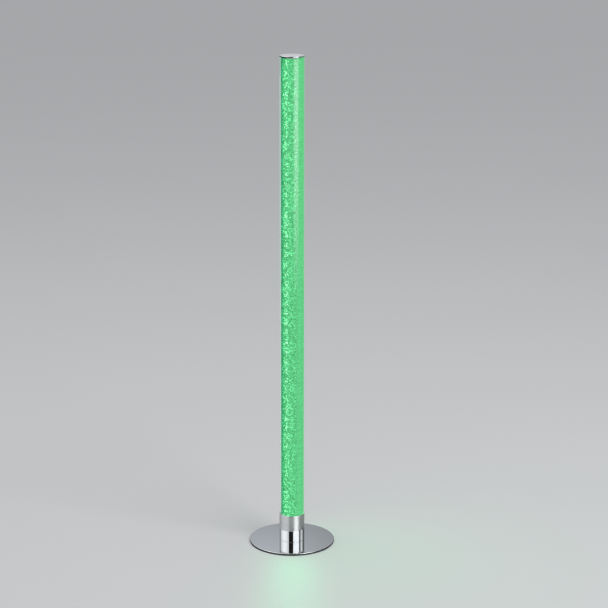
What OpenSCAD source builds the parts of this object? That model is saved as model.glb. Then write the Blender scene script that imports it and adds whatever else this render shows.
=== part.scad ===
// Bubble column floor lamp: a chrome foot, a satin collar and a tall lit acrylic tube.
// Millimetres, +Z up, -Y is the front. The origin is the middle of the foot pad's underside.

/* [Foot] */
// Diameter of the round foot plate
plate_d = 200; // [170:1:260]
// Thickness of the foot plate
plate_t = 4; // [3.2:0.1:6]
// Radius of the rounding along the plate's upper rim
plate_edge_r = 1; // [0.4:0.1:1.5]
// Thickness of the foam pad under the plate
pad_t = 1.2; // [0.8:0.1:3]
// Distance from the plate's rim in to the pad's rim
pad_inset = 4; // [2:0.5:12]
// Width of the pad's ring
pad_w = 50; // [30:1:60]

/* [Stub] */
// Height of the chrome stub that stands on the plate
stub_h = 28; // [26:0.5:45]
// Wall of the stub
stub_wall = 3; // [2.4:0.1:4]
// Thickness of the disc that closes the stub's foot
floor_t = 4; // [3.2:0.1:6]
// Bore of the rear grommet, which takes the supply cord
inlet_bore_d = 6.2; // [4:0.1:7.4]

/* [Collar] */
// Height of the satin collar above the stub
collar_h = 37; // [30:0.5:60]
// Wall of the collar
collar_wall = 1.3; // [1:0.1:2]

/* [Tube] */
// Outer diameter of the clear tube
tube_od = 56; // [46:0.5:70]
// Wall of the clear tube
tube_wall = 2.5; // [2:0.1:3.2]
// Length of the clear tube
tube_l = 1112; // [500:1:1500]
// Wall of the bubble liner inside the tube
liner_wall = 1.2; // [0.9:0.1:1.6]
// Width of the gap where the rolled liner meets itself
liner_seam = 2; // [1:0.1:4]

/* [Light] */
// Distance from one lamp to the next along the column
led_pitch = 23; // [15:0.5:35]
// Side of one square lamp package
led_side = 5; // [3.5:0.1:6]
// Height of one lamp package
led_h = 1.6; // [1:0.1:2]
// Width of the carrier profile
carrier_w = 14; // [12:0.1:17]
// Depth of the carrier profile
carrier_d = 9; // [7.6:0.1:11]
// Turn of the carrier round the column, from +X
carrier_turn = 150; // [0:5:355]

/* [Cap] */
// Thickness of the chrome cap above the tube
cap_t = 3; // [2.4:0.1:6]
// Radius of the rounding along the cap's upper rim
cap_edge_r = 0.8; // [0.3:0.1:1.2]

/* [Hidden] */
$fn = 96;

// Clearance between round pieces that slide into each other, on the radius
fit = 0.2;
// Length by which a cut runs past the face that it opens
over = 1;
// Gap round a piece that is pressed or bonded into its seat
seat_gap = 0.1;
// Thirds and quarters of a turn, between repeated screws and bosses
third = 360 / 3;
quarter = 360 / 4;

// Screws: radii of shank and head, depth of a countersunk head, height of a pan head
plate_screw_r = 2;
plate_head_r = 4;
plate_head_h = 2.2;
socket_screw_r = 1.5;
socket_head_r = 3;
socket_head_h = 1.7;
small_screw_r = 1.25;
small_head_r = 2.2;
small_head_h = 1.7;
small_screw_grip = 7;
board_screw_grip = 6;
drive_depth = 1.1;
drive_share = 0.42;
head_top_share = 0.8;
thread_gap = 0.1;
shank_gap = 0.2;

// Turns round the column, from +X. The screws and bosses keep their place beside the carrier
post_turn = carrier_turn + quarter;
plate_screw_turn = post_turn + third / 2;
boss_turn = carrier_turn + third / 2;
inlet_turn = 90;
collar_screw_turn = 328;

// Radii of the tube, the liner and the pieces that wrap the tube
tube_r = tube_od / 2;
tube_ir = tube_r - tube_wall;
liner_r = tube_ir - fit;
liner_ir = liner_r - liner_wall;
collar_ir = tube_r + fit;
collar_r = collar_ir + collar_wall;
stub_r = collar_r;
stub_ir = stub_r - stub_wall;
plate_r = plate_d / 2;
pad_r = plate_r - pad_inset;
edge_break = 0.4;

// Stack of the foot, from the ground up
plate_z = pad_t;
stub_z = plate_z + plate_t;
floor_top_z = stub_z + floor_t;
stub_top_z = stub_z + stub_h;

// Socket: a skirt inside the stub, a flange on its rim, and a spigot inside the tube
flange_t = 6;
skirt_h = 8;
skirt_wall = 2;
spigot_h = 12;
spigot_wall = 2;
deck_t = 2.5;
lip_h = 3;
lip_wall = 1.2;
flange_top_z = stub_top_z + flange_t;
skirt_z = stub_top_z - skirt_h;
deck_z = flange_top_z + spigot_h;
deck_under_z = deck_z - deck_t;
skirt_r = stub_ir - fit;
flange_r = collar_ir - fit;
spigot_r = tube_ir - fit;
spigot_ir = spigot_r - spigot_wall;
post_r = 3.5;
post_bite = 1.7;
post_at = spigot_ir + post_bite - post_r;
plate_screw_at_share = 0.56;
plate_screw_at = stub_ir * plate_screw_at_share;
socket_screw_grip = 9;
rib_h = 6;
rib_t = 1.4;

// Set screw through the collar's lower edge into the socket's flange
collar_screw_r = 2;
collar_screw_l = 5;
collar_screw_sunk = 0.4;
collar_screw_z = stub_top_z + flange_t / 2;

// Grommet, in the middle of the free height of the stub's rear wall
inlet_z = (floor_top_z + skirt_z) / 2;
grommet_wall = 1.4;
grommet_lip = 1.5;
grommet_lip_t = 1.5;
grommet_r = inlet_bore_d / 2 + grommet_wall;

// Tube and liner
washer_t = 0.8;
tube_z = flange_top_z + washer_t;
tube_top_z = tube_z + tube_l;

// Cap and end plug
cap_lip_h = 2.5;
cap_lip_wall = 1.5;
cap_boss_r = 4;
cap_roof = 1;
stud_r = 2.5;
stud_end = 0.5;
plug_rim = 4;
plug_disc_t = 2;
plug_wall = 1;
cap_z = tube_top_z;
plug_top_z = cap_z - cap_lip_h;
plug_z = plug_top_z - plug_rim;
plug_r = liner_ir - fit;
liner_play = 0.3;
liner_z = deck_z;
liner_l = plug_top_z - liner_play - liner_z;

// Carrier profile: a back with a screw port between two chambers, and a channel for the boards
carrier_back = 5;
channel_wall = 1.5;
chamber_w = 2.4;
chamber_d = 2.4;
board_lip = 0.7;
board_lip_t = 0.8;
carrier_gap = 0.5;
port_r = small_screw_r + thread_gap;
channel_w = carrier_w - 2 * channel_wall;
carrier_z = deck_z;
carrier_l = plug_z - carrier_z;
carrier_out = sqrt(pow(liner_ir - carrier_gap, 2) - pow(carrier_w / 2, 2));
carrier_in = carrier_out - carrier_d;
seat_at = carrier_out - carrier_back;
port_at = carrier_out - carrier_back / 2;
guide_h = 4;
guide_t = 1.5;

// Lamp boards: two lengths, end to end, pushed up against the end plug
led_board_t = 1;
board_side_gap = 0.2;
board_tail = 6;
board_joint = 0.2;
board_stop = 0.5;
led_board_w = channel_w - 2 * board_side_gap;
leds_each = floor(((carrier_l - board_stop - 2 * board_tail) / led_pitch + 1) / 2);
led_row_l = (2 * leds_each - 1) * led_pitch;
first_led_z = plug_z - board_stop - board_tail - led_row_l;
joint_z = first_led_z + led_row_l / 2;
lower_board_z = first_led_z - board_tail;
upper_board_top_z = plug_z - board_stop;
face_at = seat_at - led_board_t;
notch_r = 0.6;
notch_count = 4;
notch_pitch_share = 0.2;
bridge_w = 0.8;
bridge_t = 0.3;
bridge_l = 3;
lens_r_share = 0.38;
lens_proud = 0.25;
lens_gap = 0.1;
resistor_l = 2;
resistor_w = 1.25;
resistor_t = 0.5;
resistors_each = 3;
resistor_pitch = 2.6;

// Driver board, under the socket's deck, and what stands on it, at turns from the carrier's
board_drop = 10;
driver_t = 1.6;
board_clear = 0.5;
rim_clear = 1.2;
boss_r = 2.8;
boss_in = 0.5;
driver_r = post_at - post_r - board_clear;
boss_at = driver_r - boss_r - boss_in;
driver_top_z = deck_under_z - board_drop;
driver_z = driver_top_z - driver_t;
capacitor_r = 4;
capacitor_h = 11.5;
capacitor_groove = 0.4;
capacitor_turn = third;
choke_r = 3.6;
choke_h = 6;
choke_waist = 0.9;
choke_flange_t = 1;
choke_turn = 0;
terminal_size = [7.6, 10, 8.5];
terminal_turn = -third;
terminal_wire_r = 1.5;
chip_size = [5, 4, 1.6];
chip_pitch = 5.6;
chip_leg = [0.45, 6.2, 0.7];
chip_legs = 4;
chip_leg_pitch = 1.27;
header_w = 4;
header_h = 5;
header_side = 1.2;

// Leads from the header up to the lower lamp board
lead_r = 0.55;
lead_pitch = 1.9;
lead_count = 4;
lead_sides = 8;
lead_steps = 10;
lead_end = 2.6;
lead_bend_shares = [0.45, 0.85];
slot_gap = 0.6;
header_l = lead_count * lead_pitch + 2 * header_side;
header_at = driver_r - board_clear - header_w - header_side;
lead_from = header_at + header_w / 2;
lead_to = face_at - lead_r;

// Ring from the inner to the outer radius, standing on z = 0
module ring(outer_r, inner_r, height) {
    difference() {
        cylinder(r = outer_r, h = height);
        translate([0, 0, -over]) cylinder(r = inner_r, h = height + 2 * over);
    }
}

// Disc whose upper rim is rounded
module rounded_disc(radius, thick, edge) {
    rotate_extrude() {
        square([radius - edge, thick]);
        square([radius, thick - edge]);
        translate([radius - edge, thick - edge]) intersection() {
            circle(r = edge);
            square([edge, edge]);
        }
    }
}

// Tube with both outer edges chamfered
module chamfered_tube(outer_r, inner_r, height, edge) {
    rotate_extrude() polygon([
        [inner_r, 0],
        [outer_r - edge, 0],
        [outer_r, edge],
        [outer_r, height - edge],
        [outer_r - edge, height],
        [inner_r, height]
    ]);
}

// Repeats its children three times round the column, at a radius
module three_round(at_r, turn) {
    for (i = [0:2])
        rotate([0, 0, turn + i * third]) translate([at_r, 0, 0]) children();
}

// Screw with its head down at z = 0 and a sunk head
module sunk_screw(shank_r, head_r, head_h, length) {
    difference() {
        union() {
            cylinder(r1 = head_r, r2 = shank_r, h = head_h);
            cylinder(r = shank_r, h = length);
        }
        translate([0, 0, -over])
            cylinder(r = head_r * drive_share, h = over + drive_depth, $fn = 6);
    }
}

// Hole for a sunk screw that enters from z = 0
module sunk_hole(shank_r, head_r, head_h, depth) {
    translate([0, 0, -over]) cylinder(r = shank_r + shank_gap, h = depth + 2 * over);
    cylinder(r1 = head_r + shank_gap, r2 = shank_r + shank_gap, h = head_h);
}

// Screw with its round head below z = 0 and its shank above
module pan_screw(shank_r, head_r, head_h, grip) {
    cylinder(r = shank_r, h = grip);
    difference() {
        translate([0, 0, -head_h])
            cylinder(r1 = head_r * head_top_share, r2 = head_r, h = head_h);
        translate([0, 0, -head_h - over])
            cylinder(r = head_r * drive_share, h = over + drive_depth, $fn = 6);
    }
}

// Places its children in the carrier's own frame, with +X pointing out of the column
module at_carrier() {
    rotate([0, 0, carrier_turn]) children();
}

module foot_pad() {
    color([0.13, 0.13, 0.14]) ring(pad_r, pad_r - pad_w, pad_t);
}

module foot_plate() {
    color([0.78, 0.79, 0.81]) translate([0, 0, plate_z]) difference() {
        rounded_disc(plate_r, plate_t, plate_edge_r);
        three_round(plate_screw_at, plate_screw_turn)
            sunk_hole(plate_screw_r, plate_head_r, plate_head_h, plate_t);
    }
}

module plate_screws() {
    color([0.7, 0.7, 0.68]) translate([0, 0, plate_z])
        three_round(plate_screw_at, plate_screw_turn)
            sunk_screw(plate_screw_r, plate_head_r, plate_head_h, plate_t + floor_t);
}

module chrome_stub() {
    color([0.86, 0.87, 0.89]) difference() {
        translate([0, 0, stub_z]) chamfered_tube(stub_r, stub_ir, stub_h, edge_break);
        rotate([0, 0, inlet_turn]) translate([stub_ir - over, 0, inlet_z]) rotate([0, 90, 0])
            cylinder(r = grommet_r + seat_gap, h = stub_wall + 2 * over);
    }
}

module stub_floor() {
    color([0.6, 0.61, 0.62]) translate([0, 0, stub_z]) difference() {
        cylinder(r = stub_ir - seat_gap, h = floor_t);
        three_round(plate_screw_at, plate_screw_turn) translate([0, 0, -over])
            cylinder(r = plate_screw_r + thread_gap, h = floor_t + 2 * over);
        three_round(post_at, post_turn)
            sunk_hole(socket_screw_r, socket_head_r, socket_head_h, floor_t);
    }
}

// Grommet whose two lips follow the curve of the stub's wall
module cord_grommet() {
    lip_r = grommet_r + grommet_lip;
    outer_face = stub_r + grommet_lip_t;
    inner_face = stub_ir - grommet_lip_t;
    color([0.09, 0.09, 0.1]) difference() {
        rotate([0, 0, inlet_turn]) translate([0, 0, inlet_z]) rotate([0, 90, 0])
            cylinder(r = lip_r, h = outer_face + over);
        translate([0, 0, inlet_z - lip_r - over]) difference() {
            cylinder(r = outer_face + 2 * over, h = 2 * (lip_r + over));
            translate([0, 0, -over]) cylinder(r = outer_face, h = 2 * (lip_r + 2 * over));
        }
        translate([0, 0, inlet_z - lip_r - over])
            cylinder(r = inner_face, h = 2 * (lip_r + over));
        translate([0, 0, inlet_z - lip_r - over]) difference() {
            ring(stub_r + seat_gap, stub_ir - seat_gap, 2 * (lip_r + over));
            rotate([0, 0, inlet_turn]) translate([0, 0, lip_r + over]) rotate([0, 90, 0])
                cylinder(r = grommet_r, h = outer_face + over);
        }
        rotate([0, 0, inlet_turn]) translate([0, 0, inlet_z]) rotate([0, 90, 0])
            cylinder(d = inlet_bore_d, h = outer_face + 2 * over);
    }
}

module satin_collar() {
    color([0.68, 0.68, 0.69]) difference() {
        translate([0, 0, stub_top_z]) chamfered_tube(collar_r, collar_ir, collar_h, edge_break);
        at_collar_screw() translate([0, 0, collar_ir - over])
            cylinder(r = collar_screw_r + shank_gap, h = collar_wall + 2 * over);
    }
}

// Places its children on the set screw's line, with +Z pointing out of the column
module at_collar_screw() {
    rotate([0, 0, collar_screw_turn]) translate([0, 0, collar_screw_z]) rotate([0, 90, 0])
        children();
}

// Headless screw with a hexagon socket, sunk in the collar's wall
module collar_screw() {
    color([0.12, 0.12, 0.13]) at_collar_screw()
        translate([0, 0, collar_r - collar_screw_sunk - collar_screw_l]) difference() {
            cylinder(r = collar_screw_r, h = collar_screw_l);
            translate([0, 0, collar_screw_l - drive_depth])
                cylinder(r = collar_screw_r / 2, h = over + drive_depth, $fn = 6);
        }
}

// Moulded socket: skirt, flange, spigot and deck in one revolve, with posts and ribbed bosses
module tube_socket() {
    color([0.93, 0.93, 0.91]) difference() {
        union() {
            rotate_extrude() polygon([
                [skirt_r - skirt_wall, skirt_z],
                [skirt_r, skirt_z],
                [skirt_r, stub_top_z],
                [flange_r, stub_top_z],
                [flange_r, flange_top_z],
                [spigot_r, flange_top_z],
                [spigot_r, deck_z],
                [0, deck_z],
                [0, deck_under_z],
                [spigot_ir, deck_under_z],
                [spigot_ir, stub_top_z],
                [skirt_r - skirt_wall, stub_top_z]
            ]);
            three_round(post_at, post_turn) translate([0, 0, floor_top_z])
                cylinder(r = post_r, h = flange_top_z - floor_top_z);
            three_round(boss_at, boss_turn) translate([0, 0, driver_top_z])
                cylinder(r = boss_r, h = deck_under_z + deck_t / 2 - driver_top_z);
            three_round(boss_at, boss_turn) translate([0, -rib_t / 2, deck_under_z - rib_h])
                cube([spigot_ir + spigot_wall / 2 - boss_at, rib_t, rib_h + deck_t / 2]);
            liner_lip();
            carrier_guides();
        }
        three_round(post_at, post_turn) translate([0, 0, floor_top_z - over])
            cylinder(r = socket_screw_r + thread_gap, h = socket_screw_grip + 2 * over);
        three_round(boss_at, boss_turn) translate([0, 0, driver_top_z - over])
            cylinder(r = small_screw_r + thread_gap, h = board_screw_grip + 2 * over);
        at_carrier() {
            translate([port_at, 0, deck_under_z - over])
                cylinder(r = small_screw_r + shank_gap, h = deck_t + 2 * over);
            lead_slot();
        }
        at_collar_screw() translate([0, 0, collar_r - collar_screw_sunk - collar_screw_l])
            cylinder(r = collar_screw_r + thread_gap, h = collar_screw_l + over);
    }
}

// Raised lip that centres the liner, open where the carrier stands
module liner_lip() {
    translate([0, 0, deck_z]) difference() {
        translate([0, 0, -deck_t / 2])
            ring(liner_ir - fit, liner_ir - fit - lip_wall, lip_h + deck_t / 2);
        at_carrier() translate([carrier_in - over, -carrier_w / 2 - guide_t, 0])
            cube([carrier_d + liner_wall + over, carrier_w + 2 * guide_t, lip_h + over]);
    }
}

// Two walls that hold the carrier's foot sideways
module carrier_guides() {
    guide_l = carrier_d / 2;
    at_carrier() for (side = [-1, 1])
        translate([carrier_in, side * (carrier_w / 2 + fit + guide_t / 2), deck_z - deck_t / 2])
            translate([0, -guide_t / 2, 0]) cube([guide_l, guide_t, guide_h + deck_t / 2]);
}

// Slot that lets the leads through the deck
module lead_slot() {
    slot_in = min(lead_from, lead_to) - lead_r - slot_gap;
    slot_out = max(lead_from, lead_to) + lead_r + slot_gap;
    slot_w = (lead_count - 1) * lead_pitch + 2 * (lead_r + slot_gap);
    translate([slot_in, -slot_w / 2, deck_under_z - over])
        cube([slot_out - slot_in, slot_w, deck_t + 2 * over]);
}

module socket_screws() {
    color([0.7, 0.7, 0.68]) translate([0, 0, stub_z]) three_round(post_at, post_turn)
        sunk_screw(socket_screw_r, socket_head_r, socket_head_h, floor_t + socket_screw_grip);
}

module tube_washer() {
    color([0.16, 0.16, 0.17]) translate([0, 0, flange_top_z])
        ring(tube_r, tube_ir, washer_t);
}

module clear_tube() {
    color([0.85, 0.95, 0.9, 0.3]) translate([0, 0, tube_z]) ring(tube_r, tube_ir, tube_l);
}

// Rolled liner, with its seam hidden behind the carrier
module bubble_liner() {
    color([0.36, 0.86, 0.54]) translate([0, 0, liner_z]) difference() {
        ring(liner_r, liner_ir, liner_l);
        at_carrier() translate([liner_ir - over, -liner_seam / 2, -over])
            cube([liner_wall + 2 * over, liner_seam, liner_l + 2 * over]);
    }
}

module driver_board() {
    color([0.1, 0.35, 0.2]) translate([0, 0, driver_z]) difference() {
        cylinder(r = driver_r, h = driver_t);
        three_round(boss_at, boss_turn) translate([0, 0, -over])
            cylinder(r = small_screw_r + shank_gap, h = driver_t + 2 * over);
    }
}

module board_screws() {
    color([0.7, 0.7, 0.68]) translate([0, 0, driver_z]) three_round(boss_at, boss_turn)
        pan_screw(small_screw_r, small_head_r, small_head_h, driver_t + board_screw_grip);
}

// Places its children under the driver board, so that a circle of part_r clears its rim
module under_driver(turn, part_r) {
    rotate([0, 0, carrier_turn + turn])
        translate([driver_r - rim_clear - part_r, 0, driver_z]) children();
}

// Round can with a rolled groove near its base
module driver_capacitor() {
    groove_z = capacitor_r / 2;
    color([0.12, 0.14, 0.3]) under_driver(capacitor_turn, capacitor_r)
        translate([0, 0, -capacitor_h]) difference() {
            cylinder(r = capacitor_r, h = capacitor_h);
            translate([0, 0, capacitor_h - groove_z]) rotate_extrude()
                translate([capacitor_r, 0]) circle(r = capacitor_groove, $fn = 24);
        }
}

// Wound bobbin: two flanges with a narrower winding between them
module driver_choke() {
    color([0.5, 0.28, 0.12]) under_driver(choke_turn, choke_r) translate([0, 0, -choke_h])
        rotate_extrude() polygon([
            [0, 0],
            [choke_r, 0],
            [choke_r, choke_flange_t],
            [choke_r - choke_waist, choke_flange_t],
            [choke_r - choke_waist, choke_h - choke_flange_t],
            [choke_r, choke_h - choke_flange_t],
            [choke_r, choke_h],
            [0, choke_h]
        ]);
}

// One chip, its body over two rows of legs that lie on the board
module chip() {
    first_leg = -(chip_legs - 1) / 2 * chip_leg_pitch;
    translate([-chip_size.x / 2, -chip_size.y / 2, 0]) cube(chip_size);
    for (i = [0:chip_legs - 1])
        translate([first_leg + i * chip_leg_pitch - chip_leg.x / 2, -chip_leg.y / 2, 0])
            cube(chip_leg);
}

module driver_chips() {
    color([0.08, 0.08, 0.09]) at_carrier() for (side = [-1, 1])
        translate([side * chip_pitch / 2, 0, driver_top_z]) chip();
}

// Two-way terminal: a block with a wire mouth and a clamp screw for each way
module cord_terminal() {
    half_w = terminal_size.y / 2;
    mouth_at = sqrt(pow(driver_r - rim_clear, 2) - pow(half_w, 2));
    color([0.2, 0.4, 0.25]) rotate([0, 0, carrier_turn + terminal_turn])
        translate([mouth_at - terminal_size.x, 0, driver_z - terminal_size.z]) difference() {
            translate([0, -half_w, 0]) cube(terminal_size);
            for (side = [-1, 1]) translate([terminal_size.x / 2, side * half_w / 2, 0]) {
                translate([0, 0, terminal_size.z / 2]) rotate([0, 90, 0])
                    cylinder(r = terminal_wire_r, h = terminal_size.x / 2 + over);
                translate([0, 0, -over]) cylinder(r = terminal_wire_r, h = over + drive_depth);
            }
        }
}

module lead_header() {
    color([0.95, 0.95, 0.92]) at_carrier() translate([header_at, -header_l / 2, driver_top_z])
        cube([header_w, header_l, header_h]);
}

// Lead's centre line, in the carrier's frame: up from the header, across, and up the board
function lead_height(t, low, high) = low + (high - low) * t;
function lead_shift(t) =
    let (
        along = (t - lead_bend_shares[0]) / (lead_bend_shares[1] - lead_bend_shares[0]),
        s = min(1, max(0, along))
    )
    s * s * (3 - 2 * s);
function lead_ring(x, y, z) = [
    for (i = [0:lead_sides - 1])
        [x + lead_r * cos(i * 360 / lead_sides), y + lead_r * sin(i * 360 / lead_sides), z]
];

// Tube of lead_sides flat sides along the centre line
module lead(y) {
    low = driver_top_z + header_h;
    high = lower_board_z + lead_end;
    rings = lead_steps + 1;
    points = [
        for (i = [0:lead_steps])
            each lead_ring(
                lead_from + (lead_to - lead_from) * lead_shift(i / lead_steps),
                y,
                lead_height(i / lead_steps, low, high)
            )
    ];
    walls = [
        for (i = [0:lead_steps - 1], j = [0:lead_sides - 1])
            let (
                a = i * lead_sides + j,
                b = i * lead_sides + (j + 1) % lead_sides,
                c = b + lead_sides,
                d = a + lead_sides
            )
            each [[a, c, b], [a, d, c]]
    ];
    bottom = [for (j = [0:lead_sides - 1]) j];
    top = [for (j = [lead_sides - 1:-1:0]) (rings - 1) * lead_sides + j];
    polyhedron(points = points, faces = concat([bottom], walls, [top]));
}

module lamp_leads() {
    first_y = -(lead_count - 1) / 2 * lead_pitch;
    color([0.75, 0.2, 0.15]) at_carrier()
        for (i = [0:lead_count - 1]) lead(first_y + i * lead_pitch);
}

// Extruded profile: chambers each side of the screw port, and lips that hold the boards
module carrier_section() {
    chamber_at = (carrier_w / 2 - channel_wall + port_r) / 2;
    lip_at = face_at - board_side_gap - board_lip_t;
    difference() {
        translate([carrier_in, -carrier_w / 2]) square([carrier_d, carrier_w]);
        translate([carrier_in - over, -channel_w / 2])
            square([carrier_d - carrier_back + over, channel_w]);
        translate([port_at, 0]) circle(r = port_r, $fn = 32);
        for (side = [-1, 1])
            translate([port_at - chamber_d / 2, side * (chamber_at + fit) - chamber_w / 2])
                square([chamber_d, chamber_w]);
    }
    for (side = [-1, 1])
        translate([lip_at, side * (channel_w / 2 - board_lip / 2) - board_lip / 2])
            square([board_lip_t, board_lip]);
}

module led_carrier() {
    color([0.8, 0.81, 0.82]) at_carrier() translate([0, 0, carrier_z])
        linear_extrude(height = carrier_l) carrier_section();
}

module carrier_screws() {
    color([0.7, 0.7, 0.68]) at_carrier() translate([port_at, 0, 0]) {
        translate([0, 0, deck_under_z])
            pan_screw(small_screw_r, small_head_r, small_head_h, deck_t + small_screw_grip);
        translate([0, 0, plug_z + plug_disc_t]) mirror([0, 0, 1])
            pan_screw(small_screw_r, small_head_r, small_head_h, plug_disc_t + small_screw_grip);
    }
}

// One length of lamp board, with half-round solder notches at the end that meets the other
module led_board(bottom_z, top_z, notch_z) {
    at_carrier() difference() {
        translate([face_at, -led_board_w / 2, bottom_z])
            cube([led_board_t, led_board_w, top_z - bottom_z]);
        for (i = [0:notch_count - 1])
            translate([face_at - over, notch_y(i), notch_z]) rotate([0, 90, 0])
                cylinder(r = notch_r, h = led_board_t + 2 * over, $fn = 24);
    }
}

function notch_y(i) = (i - (notch_count - 1) / 2) * led_board_w * notch_pitch_share;

module lower_led_board() {
    end_z = joint_z - board_joint / 2;
    color([0.95, 0.95, 0.95]) led_board(lower_board_z, end_z, end_z);
}

module upper_led_board() {
    start_z = joint_z + board_joint / 2;
    color([0.95, 0.95, 0.95]) led_board(start_z, upper_board_top_z, start_z);
}

// Four solder bridges across the joint of the two boards
module board_bridge() {
    color([0.75, 0.75, 0.78]) at_carrier() for (i = [0:notch_count - 1])
        translate([face_at - bridge_t, notch_y(i) - bridge_w / 2, joint_z - bridge_l / 2])
            cube([bridge_t, bridge_w, bridge_l]);
}

// Repeats its children at a number of lamps of one board, on the board's face
module at_leds(first, count = leds_each) {
    at_carrier() for (i = [first:first + count - 1])
        translate([face_at, 0, first_led_z + i * led_pitch]) children();
}

module led_package() {
    translate([-led_h, -led_side / 2, -led_side / 2]) difference() {
        cube([led_h, led_side, led_side]);
        translate([-over, led_side / 2, led_side / 2]) rotate([0, 90, 0])
            cylinder(r = led_side * lens_r_share, h = over + led_h / 2, $fn = 32);
    }
}

module lower_leds() {
    color([0.97, 0.97, 0.94]) at_leds(0) led_package();
}

module upper_leds() {
    color([0.97, 0.97, 0.94]) at_leds(leds_each) led_package();
}

// Clear resin in each package, a little proud of its face
module led_lenses() {
    lens_r = led_side * lens_r_share - lens_gap;
    color([0.5, 1, 0.65]) for (first = [0, leds_each]) at_leds(first)
        translate([-led_h - lens_proud, 0, 0]) rotate([0, 90, 0])
            cylinder(r = lens_r, h = led_h / 2 + lens_proud, $fn = 32);
}

// Three resistors between each lamp and the next
module led_resistors() {
    color([0.1, 0.1, 0.1]) for (first = [0, leds_each]) at_leds(first, leds_each - 1)
        for (i = [0:resistors_each - 1]) {
            y = (i - (resistors_each - 1) / 2) * resistor_pitch;
            translate([-resistor_t, y - resistor_w / 2, (led_pitch - resistor_l) / 2])
                cube([resistor_t, resistor_w, resistor_l]);
        }
}

// Plug that closes the liner, holds the carrier's head and takes the cap's stud
module end_plug() {
    color([0.93, 0.93, 0.91]) translate([0, 0, plug_z]) difference() {
        union() {
            cylinder(r = plug_r, h = plug_disc_t);
            ring(plug_r, plug_r - plug_wall, plug_rim);
            cylinder(r = cap_boss_r, h = plug_rim);
        }
        translate([0, 0, -over])
            cylinder(r = stud_r + thread_gap, h = plug_rim + 2 * over);
        at_carrier() translate([port_at, 0, -over])
            cylinder(r = small_screw_r + shank_gap, h = plug_disc_t + 2 * over);
    }
}

// Cap: a rounded disc on the tube's end, with a lip inside the tube and a boss for the stud
module top_cap() {
    color([0.86, 0.87, 0.89]) difference() {
        union() {
            translate([0, 0, cap_z]) rounded_disc(tube_r, cap_t, cap_edge_r);
            translate([0, 0, plug_top_z])
                ring(spigot_r, spigot_r - cap_lip_wall, cap_lip_h + cap_t / 2);
            translate([0, 0, plug_top_z]) cylinder(r = cap_boss_r, h = cap_lip_h + cap_t / 2);
        }
        translate([0, 0, plug_top_z - over])
            cylinder(r = stud_r + thread_gap, h = over + cap_lip_h + cap_t - cap_roof);
    }
}

// Stud that screws the cap down on the end plug, with a hexagon socket in its lower end
module cap_stud() {
    length = plug_rim + cap_lip_h + cap_t - cap_roof;
    color([0.7, 0.7, 0.68]) translate([0, 0, plug_z]) difference() {
        rotate_extrude() polygon([
            [0, 0],
            [stud_r - stud_end, 0],
            [stud_r, stud_end],
            [stud_r, length - stud_end],
            [stud_r - stud_end, length],
            [0, length]
        ]);
        translate([0, 0, -over]) cylinder(r = stud_r / 2, h = over + drive_depth, $fn = 6);
    }
}

foot_pad();
foot_plate();
plate_screws();
chrome_stub();
stub_floor();
cord_grommet();
satin_collar();
collar_screw();
tube_socket();
socket_screws();
tube_washer();
clear_tube();
bubble_liner();
driver_board();
board_screws();
driver_capacitor();
driver_choke();
driver_chips();
cord_terminal();
lead_header();
lamp_leads();
led_carrier();
carrier_screws();
lower_led_board();
upper_led_board();
board_bridge();
lower_leds();
upper_leds();
led_lenses();
led_resistors();
end_plug();
top_cap();
cap_stud();
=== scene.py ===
"""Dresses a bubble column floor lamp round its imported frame.

The frame gives the size and place of every solid, in metres, with +Z up and the front at -Y. Each
sub-assembly is a class that builds the pieces whose shape is finer than the frame's, and gives every piece
its finish.
"""

from __future__ import annotations

import logging
import math
from abc import ABC, abstractmethod
from dataclasses import dataclass, field
from enum import Enum
from typing import Any, Callable, Mapping, Optional, Sequence, Union

import bmesh
import bpy
from mathutils import Matrix, Vector


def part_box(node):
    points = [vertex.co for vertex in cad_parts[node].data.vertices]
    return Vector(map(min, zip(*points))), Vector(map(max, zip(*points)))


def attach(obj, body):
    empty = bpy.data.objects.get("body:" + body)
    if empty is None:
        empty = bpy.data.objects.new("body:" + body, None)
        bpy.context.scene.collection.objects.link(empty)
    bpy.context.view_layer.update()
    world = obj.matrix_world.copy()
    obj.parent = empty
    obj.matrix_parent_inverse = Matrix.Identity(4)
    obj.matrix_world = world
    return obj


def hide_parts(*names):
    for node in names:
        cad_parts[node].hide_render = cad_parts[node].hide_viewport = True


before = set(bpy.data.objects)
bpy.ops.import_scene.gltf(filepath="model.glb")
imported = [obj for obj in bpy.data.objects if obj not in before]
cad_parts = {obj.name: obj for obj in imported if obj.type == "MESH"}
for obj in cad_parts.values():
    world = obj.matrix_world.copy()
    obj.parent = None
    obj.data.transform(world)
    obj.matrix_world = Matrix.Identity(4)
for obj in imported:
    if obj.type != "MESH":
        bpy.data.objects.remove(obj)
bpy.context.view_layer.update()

LOG = logging.getLogger("bubble_lamp")
MM = 0.001
BODY = "root"
DAYLIGHT = (0.965, 1.0, 1.045)

Operand = Union[float, Sequence[float], "Link"]
Colour = tuple[float, float, float]
Point = tuple[float, float]
Spot = tuple[float, float, float]
Thing = bpy.types.Object


# Node trees

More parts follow.
